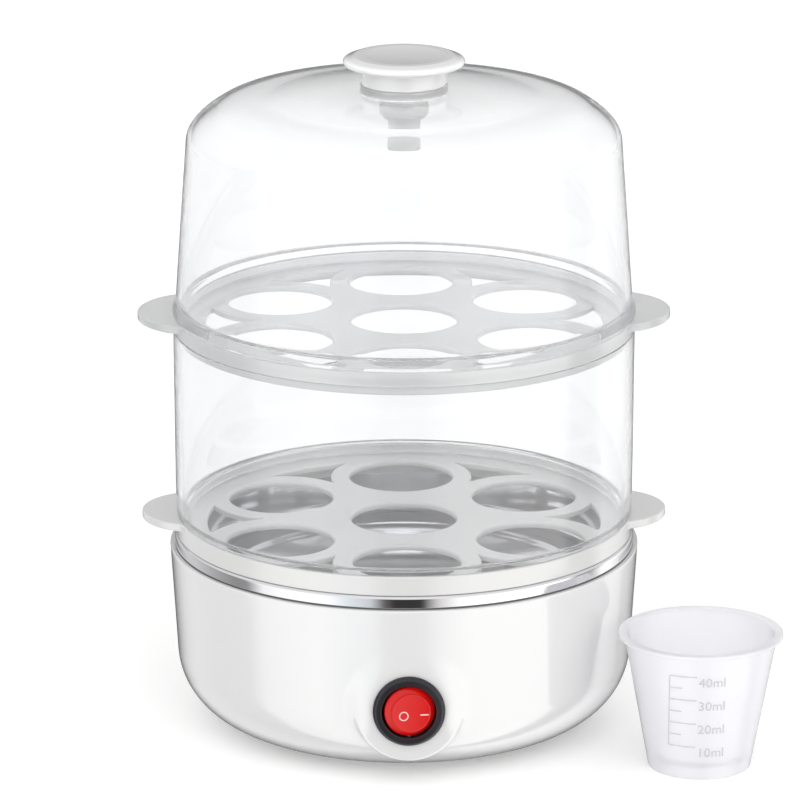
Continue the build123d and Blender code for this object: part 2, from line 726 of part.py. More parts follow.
with BuildPart() as earth_nuts:
    for nut_low_z in (lug_low_z - nut_h, lug_low_z + lug_t):
        with BuildSketch(Plane.XY.offset(nut_low_z)):
            with Locations(stud_spot):
                RegularPolygon(nut_r, 6)
                Circle(stud_r, mode=Mode.SUBTRACT)
        extrude(amount=nut_h)
earth_nuts.part.label = "earth_nuts"
export_step(earth_nuts.part, "parts/earth_nuts.step")

# ---------------------------------------------------------------- cord inlet and terminal block
with BuildPart() as cord_grommet:
    level(
        [
            (cord_r, inlet_back_y - grommet_flange_t),
            (grommet_inner_r, inlet_back_y - grommet_flange_t),
            (grommet_inner_r, inlet_back_y),
            (grommet_r, inlet_back_y),
            (grommet_r, inlet_face_y),
            (grommet_outer_r, inlet_face_y),
            (grommet_outer_r, inlet_face_y + grommet_flange_t),
            (cord_r, inlet_face_y + grommet_flange_t),
        ],
        inlet_z,
        rounding=1.2,
        corner=6,
    )
cord_grommet.part.label = "cord_grommet"
export_step(cord_grommet.part, "parts/cord_grommet.step")

with BuildPart() as cord_clamp:
    clamp_back = clamp_front + clamp_depth
    slab(clamp_low_z, clamp_top_z, -clamp_half, clamp_half, clamp_front, clamp_back)
    fillet(edges().filter_by(Axis.Z), 2 * soft_edge)
    rods(clamp_low_z, clamp_top_z, thread_r + screw_gap, clamp_spots, Mode.SUBTRACT)
cord_clamp.part.label = "cord_clamp"
export_step(cord_clamp.part, "parts/cord_clamp.step")

with BuildPart() as clamp_screws:
    screws(clamp_low_z - head_h, clamp_spots, shelf_top_z - soft_edge)
clamp_screws.part.label = "clamp_screws"
export_step(clamp_screws.part, "parts/clamp_screws.step")

with BuildPart() as terminal_block:
    block_left, block_right = block_x - block_half, block_x + block_half
    slab(block_low_z, shelf_low_z, block_left, block_right, shelf_front, block_back_y)
    with BuildSketch(Plane.XZ.offset(-block_back_y)):
        with Locations(*[(x, block_wire_z) for x in pole_x]):
            Circle(block_wire_r)
    extrude(amount=block_depth, mode=Mode.SUBTRACT)
    rods(block_low_z, block_wire_z, block_screw_r, pole_spots, Mode.SUBTRACT)
    rods(block_low_z, shelf_low_z, thread_r + screw_gap, block_spots, Mode.SUBTRACT)
terminal_block.part.label = "terminal_block"
export_step(terminal_block.part, "parts/terminal_block.step")

with BuildPart() as terminal_screws:
    rods(block_low_z, block_wire_z - block_wire_r, block_screw_r, pole_spots)
terminal_screws.part.label = "terminal_screws"
export_step(terminal_screws.part, "parts/terminal_screws.step")

with BuildPart() as block_screws:
    screws(block_low_z - head_h, block_spots, shelf_top_z - soft_edge)
block_screws.part.label = "block_screws"
export_step(block_screws.part, "parts/block_screws.step")

# ---------------------------------------------------------------- switch
with BuildPart() as switch_body:
    level(
        [
            (recess_r, bezel_face_y),
            (bezel_r, bezel_face_y),
            (bezel_r, boss_face_y),
            (barrel_r, boss_face_y),
            (barrel_r, barrel_back_y),
            (0, barrel_back_y),
            (0, recess_floor_y),
            (recess_r, recess_floor_y),
        ],
        switch_z,
        rounding=bezel_round,
    )
    lamp_bore = lamp_r + lamp_gap
    side_rod(switch_z, lamp_bore, recess_floor_y, recess_floor_y + lamp_depth, Mode.SUBTRACT)
    rods(switch_z - pivot_half, switch_z + pivot_half, pivot_r, [(0, pivot_y)], Mode.SUBTRACT)
    # Two wedges that snap behind the panel
    with BuildSketch(Plane.XY.offset(switch_z)):
        with BuildLine():
            Polyline(
                (barrel_r - soft_edge, pocket_front_y),
                (barrel_r + snap_h, pocket_front_y),
                (barrel_r, pocket_front_y + snap_depth),
                (barrel_r - soft_edge, pocket_front_y + snap_depth),
                close=True,
            )
        make_face()
        mirror(about=Plane.YZ)
    extrude(amount=snap_half, both=True)
switch_body.part.label = "switch_body"
export_step(switch_body.part, "parts/switch_body.step")

# The rocker rests with its right-hand side pressed in
tilt = radians(rocker_tilt)
rocker_plane = Plane(origin=(0, pivot_y, switch_z), x_dir=(cos(tilt), sin(tilt), 0), z_dir=(0, 0, 1))
rocker_axis = Axis((0, pivot_y, switch_z), (-sin(tilt), cos(tilt), 0))
with BuildPart() as switch_rocker:
    with BuildSketch(rocker_plane) as rocker_half:
        with BuildLine():
            Polyline(
                (0, -rocker_rise),
                (rocker_face_r, -rocker_rise),
                (rocker_r, -rocker_edge),
                (rocker_r, 0),
                (rocker_back_half, rocker_back),
                (0, rocker_back),
                close=True,
            )
        make_face()
    revolve(rocker_half.sketch, axis=rocker_axis)
    round_edges = edges().filter_by(GeomType.CIRCLE)
    fillet([edge for edge in round_edges if abs(edge.radius - rocker_face_r) < soft_edge], rocker_round)
    with BuildSketch(rocker_plane) as hub:
        Circle(hub_r)
    extrude(hub.sketch, amount=hub_half, both=True)
    with BuildSketch(rocker_plane) as pin_hole:
        Circle(pivot_r + pivot_gap)
    extrude(pin_hole.sketch, amount=rocker_r, both=True, mode=Mode.SUBTRACT)
switch_rocker.part.label = "switch_rocker"
export_step(switch_rocker.part, "parts/switch_rocker.step")

with BuildPart() as switch_pivot:
    rods(switch_z - pivot_half, switch_z + pivot_half, pivot_r, [(0, pivot_y)])
switch_pivot.part.label = "switch_pivot"
export_step(switch_pivot.part, "parts/switch_pivot.step")

with BuildPart() as switch_lamp:
    lamp_front_y = recess_floor_y + lamp_gap
    side_rod(switch_z, lamp_r, lamp_front_y, recess_floor_y + lamp_depth, rounding=lamp_r / 2)
switch_lamp.part.label = "switch_lamp"
export_step(switch_lamp.part, "parts/switch_lamp.step")

with BuildPart() as switch_contacts:
    contact_low_z, contact_high_z = switch_z - contact_width / 2, switch_z + contact_width / 2
    for x in contact_x:
        slab(contact_low_z, contact_high_z, x - tab_t / 2, x + tab_t / 2, barrel_back_y, contact_end_y)
switch_contacts.part.label = "switch_contacts"
export_step(switch_contacts.part, "parts/switch_contacts.step")

# ---------------------------------------------------------------- wiring
boot_half_x = tab_t / 2 + boot_wall
boot_half_y = tab_width / 2 + boot_wall
boot_half_z = contact_width / 2 + boot_wall
pin_boot_half = pin_r + boot_wall
flag_low_z, flag_high_z = wire_z - flag_half_h, wire_z + flag_half_h
with BuildPart() as wire_boots:
    for x in contact_x:
        left, right = x - boot_half_x, x + boot_half_x
        slab(wire_z - boot_half_z, wire_z + boot_half_z, left, right, boot_start_y, boot_end_y)
    for x in tab_x:
        slab(flag_low_z, flag_high_z, x - boot_half_x, x + boot_half_x, -boot_half_y, boot_half_y)
    for x, y in leg_spots:
        left, right = x - pin_boot_half, x + pin_boot_half
        slab(flag_low_z, flag_high_z, left, right, y - pin_boot_half, y + pin_boot_half)
    add(switch_contacts.part, mode=Mode.SUBTRACT)
    add(thermostat_tabs.part, mode=Mode.SUBTRACT)
    add(element_pins.part, mode=Mode.SUBTRACT)
wire_boots.part.label = "wire_boots"
export_step(wire_boots.part, "parts/wire_boots.step")

(first_leg_x, first_leg_y), (second_leg_x, second_leg_y) = leg_spots
block_wire_y = shelf_front + wire_into_block
left_lane_x = pole_x[0] - side_lane
right_lane_x = first_leg_x + leg_lane
front_lane_y = boot_end_y + wire_run
rear_lane_y = block_wire_y - block_lane

with BuildPart() as live_lead:
    wire(
        [
            (pole_x[0], block_wire_y, block_wire_z),
            (pole_x[0], block_wire_y - wire_run, block_wire_z),
            (left_lane_x, rear_lane_y - side_lane, wire_z),
            (left_lane_x, front_lane_y + side_lane, wire_z),
            (left_lane_x + side_lane, front_lane_y, wire_z),
            (contact_x[0], front_lane_y, wire_z),
            (contact_x[0], boot_end_y, wire_z),
        ]
    )
live_lead.part.label = "live_lead"
export_step(live_lead.part, "parts/live_lead.step")

with BuildPart() as switched_lead:
    wire(
        [
            (contact_x[1], boot_end_y, wire_z),
            (contact_x[1], front_lane_y, wire_z),
            (tab_x[1], front_lane_y + wire_run, wire_z),
            (tab_x[1], -boot_half_y, wire_z),
        ]
    )
switched_lead.part.label = "switched_lead"
export_step(switched_lead.part, "parts/switched_lead.step")

with BuildPart() as thermostat_lead:
    wire(
        [
            (tab_x[0], -boot_half_y, wire_z),
            (tab_x[0], -boot_half_y - wire_run, wire_z),
            (-fuse_place, -fuse_wire_half - wire_run, wire_z),
            (-fuse_place, -fuse_wire_half - wire_run, fuse_z),
            (-fuse_place, -fuse_wire_half, fuse_z),
        ]
    )
thermostat_lead.part.label = "thermostat_lead"
export_step(thermostat_lead.part, "parts/thermostat_lead.step")

with BuildPart() as fuse_lead:
    wire(
        [
            (-fuse_place, fuse_wire_half, fuse_z),
            (-fuse_place, fuse_wire_half + wire_run, fuse_z),
            (-fuse_place, fuse_wire_half + wire_run, wire_z),
            (-fuse_place + leg_lane, rear_lane_y, wire_z),
            (first_leg_x - block_lane, rear_lane_y, wire_z),
            (first_leg_x, rear_lane_y - block_lane, wire_z),
            (first_leg_x, first_leg_y + pin_boot_half, wire_z),
        ]
    )
fuse_lead.part.label = "fuse_lead"
export_step(fuse_lead.part, "parts/fuse_lead.step")

with BuildPart() as neutral_lead:
    wire(
        [
            (pole_x[2], block_wire_y, block_wire_z),
            (pole_x[2], block_wire_y - wire_run, block_wire_z),
            (stud_x, block_wire_y - wire_run, block_wire_z),
            (right_lane_x, rear_lane_y - wire_run, wire_z),
            (right_lane_x, second_leg_y + wire_run, wire_z),
            (right_lane_x - wire_run, second_leg_y, wire_z),
            (second_leg_x + pin_boot_half, second_leg_y, wire_z),
        ]
    )
neutral_lead.part.label = "neutral_lead"
export_step(neutral_lead.part, "parts/neutral_lead.step")

with BuildPart() as lamp_lead:
    wire(
        [
            (contact_x[2], boot_end_y, wire_z),
            (contact_x[2], front_lane_y, wire_z),
            (contact_x[2] + wire_run, second_leg_y, wire_z),
            (second_leg_x - pin_boot_half, second_leg_y, wire_z),
        ]
    )
lamp_lead.part.label = "lamp_lead"
export_step(lamp_lead.part, "parts/lamp_lead.step")

with BuildPart() as earth_lead:
    lug_wire_z = lug_low_z + lug_t / 2
    lug_end_x = stud_x - lug_neck
    wire(
        [
            (pole_x[1], block_wire_y, block_wire_z),
            (pole_x[1], block_wire_y - wire_run, block_wire_z),
            (lug_end_x - 2 * wire_run, stud_y + wire_run, lug_wire_z),
            (lug_end_x - wire_run, stud_y, lug_wire_z),
            (lug_end_x, stud_y, lug_wire_z),
        ]
    )
earth_lead.part.label = "earth_lead"
export_step(earth_lead.part, "parts/earth_lead.step")


# ---------------------------------------------------------------- egg trays
def egg_tray(seat_z, height, rim_r, recess, floor_t, skirt_r, ear_r, ear_reach):
    """A round tray with a raised rim, a nesting skirt, two ears, seven egg holes and six steam slots."""
    top_z = seat_z + height
    floor_z = top_z - recess
    rim_inner_r = rim_r - tray_rim_t
    skirt_inner_r = skirt_r - tray_skirt_t
    upright(
        [
            (0, floor_z - floor_t),
            (skirt_inner_r, floor_z - floor_t),
            (skirt_inner_r, seat_z - tray_skirt_h),
            (skirt_r, seat_z - tray_skirt_h),
            (skirt_r, seat_z),
            (rim_r, seat_z),
            (rim_r, top_z),
            (rim_inner_r, top_z),
            (rim_inner_r, floor_z),
            (0, floor_z),
        ]
    )
    with BuildSketch(Plane.XY.offset(top_z - ear_t)) as brim:
        Circle(rim_r)
        with Locations((ear_reach - ear_r, 0), (ear_r - ear_reach, 0)):
            Circle(ear_r)
        fillet(vertices(), ear_blend)
        Circle(rim_inner_r, mode=Mode.SUBTRACT)
    extrude(brim.sketch, amount=ear_t)
    fillet(edges().group_by(Axis.Z)[-1], soft_edge)
    rods(floor_z - floor_t, floor_z, egg_hole_r, egg_spots, Mode.SUBTRACT)
    hole_tops = edges().filter_by(GeomType.CIRCLE).filter_by(
        lambda e: isclose(e.radius, egg_hole_r, abs_tol=0.01) and isclose(e.center().Z, floor_z, abs_tol=0.01)
    )
    chamfer(hole_tops, egg_seat)
    # A slot fills the space between two egg holes and the rim, less a guard round each hole
    with BuildSketch(Plane.XY.offset(floor_z - floor_t)) as slots:
        Circle(slot_outer_r)
        Circle(slot_inner_r, mode=Mode.SUBTRACT)
        with Locations(*ring_eggs):
            Circle(egg_hole_r + slot_guard, mode=Mode.SUBTRACT)
        fillet(vertices(), slot_round)
    extrude(slots.sketch, amount=floor_t, mode=Mode.SUBTRACT)


with BuildPart() as lower_egg_tray:
    egg_tray(
        lower_seat_z,
        lower_tray_h,
        lower_tray_r,
        lower_recess,
        lower_floor_t,
        lower_skirt_r,
        lower_ear_r,
        lower_tray_r + lower_ear_stand,
    )
lower_egg_tray.part.label = "lower_egg_tray"
export_step(lower_egg_tray.part, "parts/lower_egg_tray.step")

with BuildPart() as upper_egg_tray:
    egg_tray(
        upper_seat_z,
        upper_tray_h,
        upper_tray_r,
        upper_recess,
        upper_floor_t,
        upper_skirt_r,
        upper_ear_r,
        upper_tray_r + upper_ear_stand,
    )
upper_egg_tray.part.label = "upper_egg_tray"
export_step(upper_egg_tray.part, "parts/upper_egg_tray.step")

# ---------------------------------------------------------------- clear ring and lid
with BuildPart() as middle_ring:
    upright(
        [
            (lower_nest_r - nest_t, lower_top_z - nest_depth),
            (lower_nest_r, lower_top_z - nest_depth),
            (lower_nest_r, lower_top_z),
            (ring_bottom_r, lower_top_z),
            (ring_top_r, ring_top_z),
            (ring_top_r - ring_wall, ring_top_z),
            (ring_bottom_r - ring_wall, lower_top_z + ring_bead),
            (lower_nest_r - nest_t, lower_top_z + ring_bead / 2),
        ]
    )
middle_ring.part.label = "middle_ring"
export_step(middle_ring.part, "parts/middle_ring.step")


def dome_points(inset):
    """Points along the lid's shoulder and crown, drawn in by a wall."""
    facing = radians(lid_bend_angle)
    return [
        (lid_shoulder_r - inset, lid_shoulder_z),
        (lid_bend_r - inset * cos(facing), lid_bend_z - inset * sin(facing)),
        (lid_crown_r, lid_crown_z - inset),
        (knob_seat_r - inset, lid_low_z + lid_top_h - inset),
    ]


lid_rise = Vector(-lid_lean, lid_shoulder_z - lid_low_z - lid_flare_h).normalized()
with BuildPart() as lid_dome:
    with BuildSketch(Plane.XZ):
        with BuildLine():
            outer_dome = Spline(*dome_points(0), tangents=[lid_rise, (-1, 0)])
            inner_dome = Spline(*dome_points(lid_wall), tangents=[lid_rise, (-1, 0)])
            Polyline(
                outer_dome @ 1,
                (knob_seat_r, knob_seat_z),
                (knob_bolt_r, knob_seat_z),
                (knob_bolt_r, knob_boss_low_z),
                (knob_boss_r, knob_boss_low_z),
                (knob_boss_r, knob_seat_z - lid_wall),
                (knob_seat_r - lid_wall, knob_seat_z - lid_wall),
                inner_dome @ 1,
            )
            Polyline(
                inner_dome @ 0,
                (lid_wall_r - lid_wall, lid_low_z + lid_flare_h),
                (upper_nest_r - nest_t, lid_low_z + lid_nest_bead),
                (upper_nest_r - nest_t, lid_low_z - nest_depth),
                (upper_nest_r, lid_low_z - nest_depth),
                (upper_nest_r, lid_low_z),
                (lid_foot_r, lid_low_z),
                (lid_foot_r, lid_low_z + lid_foot_h),
                (lid_wall_r, lid_low_z + lid_flare_h),
                outer_dome @ 0,
            )
        make_face()
    revolve(axis=Axis.Z)
lid_dome.part.label = "lid_dome"
export_step(lid_dome.part, "parts/lid_dome.step")

with BuildPart() as lid_knob:
    knob_low_z = knob_seat_z + knob_neck_h
    knob_top_z = knob_low_z + knob_t
    dish_arc_r = (knob_top_r**2 + knob_dish**2) / (2 * knob_dish)
    with BuildSketch(Plane.XZ):
        with BuildLine():
            knob_side = Polyline(
                (0, knob_seat_z),
                (knob_neck_r, knob_seat_z),
                (knob_neck_r, knob_low_z),
                (knob_under_r, knob_low_z),
                (knob_r, knob_low_z + knob_edge_low),
                (knob_r, knob_low_z + knob_edge_high),
                (knob_top_r, knob_top_z),
            )
            dished = RadiusArc(knob_side @ 1, (0, knob_top_z - knob_dish), dish_arc_r)
            Line(dished @ 1, knob_side @ 0)
        make_face()
    revolve(axis=Axis.Z)
    knob_rings = edges().filter_by(GeomType.CIRCLE)
    fillet(knob_rings.filter_by(lambda e: knob_neck_r < e.radius < dish_arc_r), knob_round)
    rods(knob_seat_z, knob_seat_z + knob_socket_h, knob_bolt_r, [(0, 0)], Mode.SUBTRACT)
lid_knob.part.label = "lid_knob"
export_step(lid_knob.part, "parts/lid_knob.step")

nut_high_z = knob_boss_low_z - knob_washer_t
with BuildPart() as knob_bolt:
    rods(nut_high_z - knob_nut_grip, knob_seat_z + knob_socket_h, knob_bolt_r, [(0, 0)])
knob_bolt.part.label = "knob_bolt"
export_step(knob_bolt.part, "parts/knob_bolt.step")

with BuildPart() as knob_washer:
    rods(nut_high_z, knob_boss_low_z, knob_washer_r, [(0, 0)])
    rods(nut_high_z, knob_boss_low_z, knob_bolt_r, [(0, 0)], Mode.SUBTRACT)
knob_washer.part.label = "knob_washer"
export_step(knob_washer.part, "parts/knob_washer.step")

with BuildPart() as knob_nut:
    rods(nut_high_z - knob_nut_h, nut_high_z, knob_nut_r, [(0, 0)])
    fillet(edges().group_by(Axis.Z)[0], 2 * soft_edge)
    rods(nut_high_z - knob_nut_grip, nut_high_z, knob_bolt_r, [(0, 0)], Mode.SUBTRACT)
knob_nut.part.label = "knob_nut"
export_step(knob_nut.part, "parts/knob_nut.step")

# ---------------------------------------------------------------- water measure
cup_spot = (cup_x, cup_y)
cup_floor_z = cup_foot + cup_floor_t
with BuildPart() as measuring_cup:
    flange_low_z = cup_h - cup_flange_t

    def cup_radius(z, inset=0.0):
        """Radius of the cup's side at a height, less its wall."""
        return cup_bottom_r + (cup_top_r - cup_bottom_r) * z / flange_low_z - inset

    upright(
        [
            (0, cup_foot),
            (cup_radius(cup_foot, cup_wall), cup_foot),
            (cup_radius(0, cup_wall), 0),
            (cup_radius(0), 0),
            (cup_radius(flange_low_z), flange_low_z),
            (cup_flange_r, flange_low_z),
            (cup_flange_r, cup_h),
            (cup_radius(cup_h, cup_wall), cup_h),
            (cup_radius(cup_floor_z, cup_wall), cup_floor_z),
            (cup_boss_r, cup_floor_z),
            (cup_boss_r, cup_floor_z + cup_boss_h),
            (0, cup_floor_z + cup_boss_h),
        ],
        cup_spot,
    )
    rods(cup_foot, cup_foot + needle_hold, needle_r, [cup_spot], Mode.SUBTRACT)
measuring_cup.part.label = "measuring_cup"
export_step(measuring_cup.part, "parts/measuring_cup.step")

with BuildPart() as piercing_needle:
    upright(
        [
            (0, needle_clear),
            (needle_r, needle_clear + needle_point_h),
            (needle_r, cup_foot + needle_hold),
            (0, cup_foot + needle_hold),
        ],
        cup_spot,
    )
piercing_needle.part.label = "piercing_needle"
export_step(piercing_needle.part, "parts/piercing_needle.step")
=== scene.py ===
"""Finished surfaces, materials and studio for the two-tier egg cooker, built round its packed frame.

Metres, +Z up, the switch faces -Y. Each new piece is a surface worked out with numpy from the frame's sizes.
Only the figures on the water measure are text.
"""

import json

import bmesh
import bpy
import numpy as np
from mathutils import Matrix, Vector
from mathutils.geometry import delaunay_2d_cdt


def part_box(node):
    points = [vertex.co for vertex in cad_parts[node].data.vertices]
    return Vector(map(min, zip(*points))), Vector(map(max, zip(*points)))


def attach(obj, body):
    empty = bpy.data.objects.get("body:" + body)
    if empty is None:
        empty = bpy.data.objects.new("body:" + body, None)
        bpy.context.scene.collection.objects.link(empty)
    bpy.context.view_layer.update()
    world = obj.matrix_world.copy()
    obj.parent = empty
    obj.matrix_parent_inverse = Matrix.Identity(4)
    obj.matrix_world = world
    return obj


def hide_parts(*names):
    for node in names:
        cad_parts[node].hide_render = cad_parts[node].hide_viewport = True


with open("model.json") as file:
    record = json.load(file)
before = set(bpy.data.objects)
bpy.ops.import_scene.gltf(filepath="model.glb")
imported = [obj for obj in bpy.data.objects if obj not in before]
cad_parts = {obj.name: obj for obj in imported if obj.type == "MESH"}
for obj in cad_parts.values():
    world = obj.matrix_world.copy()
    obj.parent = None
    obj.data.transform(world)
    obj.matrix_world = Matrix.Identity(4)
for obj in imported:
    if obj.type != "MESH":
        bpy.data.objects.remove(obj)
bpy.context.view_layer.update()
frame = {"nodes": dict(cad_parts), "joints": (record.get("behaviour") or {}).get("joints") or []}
NODES = frame["nodes"]
JOINTS = {joint["name"]: joint for joint in frame["joints"]}

bl_info = {
    "name": "Egg cooker finish",
    "version": (1, 0, 0),
    "blender": (4, 5, 0),
    "location": "View3D > Sidebar > Egg cooker",
    "description": "Dresses the packed egg cooker with finished surfaces and sets up its studio",
    "category": "Object",
}

MM = 0.001
TURN = 2 * np.pi
COLUMNS = 288  # steps round a large turned piece
FINE = 160  # steps round a small one


# ---------------------------------------------------------------- settings
def number(label, description, default, **more):
    """A number that a user may change."""
    return bpy.props.FloatProperty(name=label, description=description, default=default, **more)


def length(label, description, millimetres, least=0.0):
    """A length in metres, from a default in millimetres."""
    return number(label, description, millimetres * MM, min=least, precision=5, unit="LENGTH")


def angle(label, description, degrees):
    """An angle, from a default in degrees."""
    return number(label, description, float(np.radians(degrees)), unit="ROTATION")


def share(label, description, default):
    """A share between nothing and all."""
    return number(label, description, default, min=0.0, max=1.0, subtype="FACTOR")


def colour(label, description, *default):
    """A colour."""
    return bpy.props.FloatVectorProperty(
        name=label, description=description, default=default, size=3, min=0.0, max=1.0, subtype="COLOR"
    )


class EggHousingSettings(bpy.types.PropertyGroup):
    """The white base."""

    edge_step: length("Edge step", "How far the housing's edge stands outside the bright band", 1.5)
    lean: angle("Lean", "How far the side leans outwards", 3.5)
    corner: length("Corner", "Radius of the rounded bottom corner", 24)
    wall: length("Wall", "Thickness of the moulding", 2.4)
    opening: length("Opening", "Radius of the opening underneath", 49.9)
    edge: length("Edge", "Rounding of the top edge", 0.5)
    boss_blend: length("Boss blend", "How softly the switch's raised ring runs into the side", 2.8)
    tint: colour("Colour", "Colour of the white moulding", 0.71, 0.71, 0.712)
    shine: share("Roughness", "Roughness of the white moulding", 0.16)


class EggDishSettings(bpy.types.PropertyGroup):
    """The pressed steel dish."""

    sheet: length("Sheet", "Thickness of the steel", 0.8)
    rim: length("Rim width", "From the band to the bowl along the top", 3.7)
    lean: length("Bowl lean", "How much the bowl's wall leans inwards", 2.2)
    slope_r: length("Slope width", "Width of the cone round the bowl's flat", 8.6)
    slope_h: length("Slope height", "Height of the cone round the bowl's flat", 2.6)
    tint: colour("Colour", "Colour of the polished steel", 0.72, 0.72, 0.735)


class EggTraySettings(bpy.types.PropertyGroup):
    """The two egg trays."""

    hole: length("Egg hole", "Radius of the hole that holds an egg", 17.5)
    ring: length("Egg ring", "Radius of the ring of six holes", 47.5)
    seat: length("Egg seat", "Rounding of the hole's top edge", 1.0)
    slot_outer: length("Slot end", "Radius where a steam slot ends", 65.5)
    slot_guard: length("Slot guard", "Plate left round each egg hole", 6.7)
    rim: length("Rim", "Thickness of the raised rim", 2.0)
    skirt: length("Skirt", "Thickness of the nesting skirt", 1.8)
    skirt_h: length("Skirt height", "Height of the nesting skirt", 3.0)
    ear_t: length("Ear", "Thickness of an ear", 2.6)
    blend: length("Ear blend", "Hollow corner between an ear and the rim", 3.0)
    lower_recess: length("Lower recess", "Depth of the lower tray's floor below its rim", 3.5)
    lower_floor: length("Lower floor", "Thickness of the lower tray's floor", 2.0)
    lower_ear: length("Lower ear", "Radius of the lower tray's ears", 19.0)
    upper_recess: length("Upper recess", "Depth of the upper tray's floor below its rim", 3.2)
    upper_floor: length("Upper floor", "Thickness of the upper tray's floor", 1.8)
    upper_ear: length("Upper ear", "Radius of the upper tray's ears", 22.6)
    tint: colour("Lower colour", "Colour of the milky lower tray", 0.65, 0.65, 0.645)
    frost: colour("Upper colour", "Colour of the frosted upper tray", 0.80, 0.805, 0.81)
    haze: share("Upper haze", "Roughness of the frosted upper tray", 0.35)


class EggClearSettings(bpy.types.PropertyGroup):
    """The clear ring and the lid."""

    wall: length("Ring wall", "Thickness of the ring", 2.2)
    lid_wall: length("Lid wall", "Thickness of the lid", 2.0)
    nest: length("Nest", "Thickness of the lip that nests in a tray", 2.0)
    nest_depth: length("Nest depth", "Depth of the lip that nests in a tray", 2.5)
    tint: colour("Colour", "Colour of the clear moulding", 0.955, 0.959, 0.965)
    milk: share("Milkiness", "How milky the clear moulding is", 0.07)
    seat: colour("Seat colour", "Colour of the milky seat under the knob", 0.93, 0.932, 0.935)
    index: number("Index", "Refractive index", 1.45, min=1.0, max=2.0)


class EggKnobSettings(bpy.types.PropertyGroup):
    """The knob."""

    # Painted light: the knob is the housing's white plastic, set lighter here for its side and neck in place
    # of light on the neck that the disc shades.
    tint: colour("Colour", "Colour of the knob's side and neck", 0.90, 0.90, 0.90)
    # Painted shade: this darker top colour stands in for the shade that the knob's top gets from the dimmer
    # light above; the top is the same white as the side.
    top: colour("Top colour", "Colour of the knob's dulled top", 0.62, 0.62, 0.62)


class EggSwitchSettings(bpy.types.PropertyGroup):
    """The round rocker switch."""

    barrel: length("Barrel", "Radius of the body behind the panel", 9.9)
    bezel_t: length("Bezel", "How far the bezel stands off the panel", 2.0)
    recess: length("Recess", "Radius of the well that the rocker sits in", 8.8)
    recess_depth: length("Recess depth", "Depth of that well", 7.5)
    face: length("Face", "Radius of the rocker's flat face", 6.5)
    rocker: length("Rocker", "Radius of the rocker at its root", 8.35)
    face_h: length("Face height", "The face above the pivot", 3.95)
    hollow: length("Hollow", "Depth of the hollow in the rocker's face", 0.25)
    bead: length("Bead", "Height of the bead round the rocker's face", 0.07)
    mark_r: length("Off mark", "Radius of the off mark", 1.4)
    mark_x: length("Off mark across", "From the face's middle", -2.35, -1.0)
    mark_z: length("Off mark up", "From the face's middle", -0.85, -1.0)
    black: colour("Bezel colour", "Colour of the bezel", 0.009, 0.008, 0.011)
    red: colour("Rocker colour", "Colour of the rocker", 0.66, 0.006, 0.006)


class EggCupSettings(bpy.types.PropertyGroup):
    """The water measure."""

    wall: length("Wall", "Thickness of the measure", 1.2)
    foot: length("Foot", "Height of the foot ring", 4.0)
    floor: length("Floor", "Thickness of the floor", 1.4)
    bottom: length("Bottom", "Radius at the bottom", 16.8)
    top: length("Top", "Radius under the flange", 25.0)
    flange: length("Flange", "Thickness of the flange", 1.2)
    tint: colour("Colour", "Colour of the measure", 0.965, 0.96, 0.985)
    # Painted shade: the raised marks are moulded in the measure's own plastic, and this grey stands in for
    # the shade along their edges.
    marks: colour("Marks", "Colour of the raised marks", 0.60, 0.59, 0.62)
    letter: length("Letters", "Size of the raised figures", 4.6)
    scale_left: length("Scale's place", "Left end of the scale, from the middle", -11.9, -1.0)
    scale_low: length("Lowest mark", "Height of the lowest mark", 12.0)
    scale_step: length("Mark step", "Height from one mark to the next", 4.27)
    scale_long: length("Long mark", "Length of a numbered mark", 9.3)
    scale_short: length("Short mark", "Length of a mark in between", 4.4)


class EggStageSettings(bpy.types.PropertyGroup):
    """The floor, the lights and the camera."""

    lens: number("Lens", "Focal length in millimetres", 271.2, min=1.0)
    distance: length("Distance", "From the camera to the point that it looks at", 2000)
    pitch: angle("Pitch", "How far the camera looks down", 16.4)
    aim: length("Aim", "Height of the point that the camera looks at", 110)
    turn: angle("Turn", "How far the camera stands round towards +X", -1.2)
    floor: colour("Floor", "Colour of the floor", 0.98, 0.98, 0.975)
    sky_front: number("Front sky", "Brightness in front", 1.15, min=0.0)
    sky_back: number("Back sky", "Brightness behind", 0.8, min=0.0)
    strips: number("Strips", "Brightness of the low strips", 1.8, min=0.0)
    glow: number("Floor glow", "Light that the floor gives", 0.12, min=0.0)
    card_r: length("Dark cards", "How far the two dark cards stand from the axis", 190)
    card_top: length("Card height", "Height of the dark cards' upper edge", 15.5)
    softbox: number("Softbox", "Power of the softbox in front and above", 7.0, min=0.0, unit="POWER")


GROUPS = {
    "egg_housing": EggHousingSettings,
    "egg_dish": EggDishSettings,
    "egg_tray": EggTraySettings,
    "egg_clear": EggClearSettings,
    "egg_knob": EggKnobSettings,
    "egg_switch": EggSwitchSettings,
    "egg_cup": EggCupSettings,
    "egg_stage": EggStageSettings,
}


# ---------------------------------------------------------------- surfaces
def high(node):
    """Highest corner of a CAD node."""
    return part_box(node)[1]


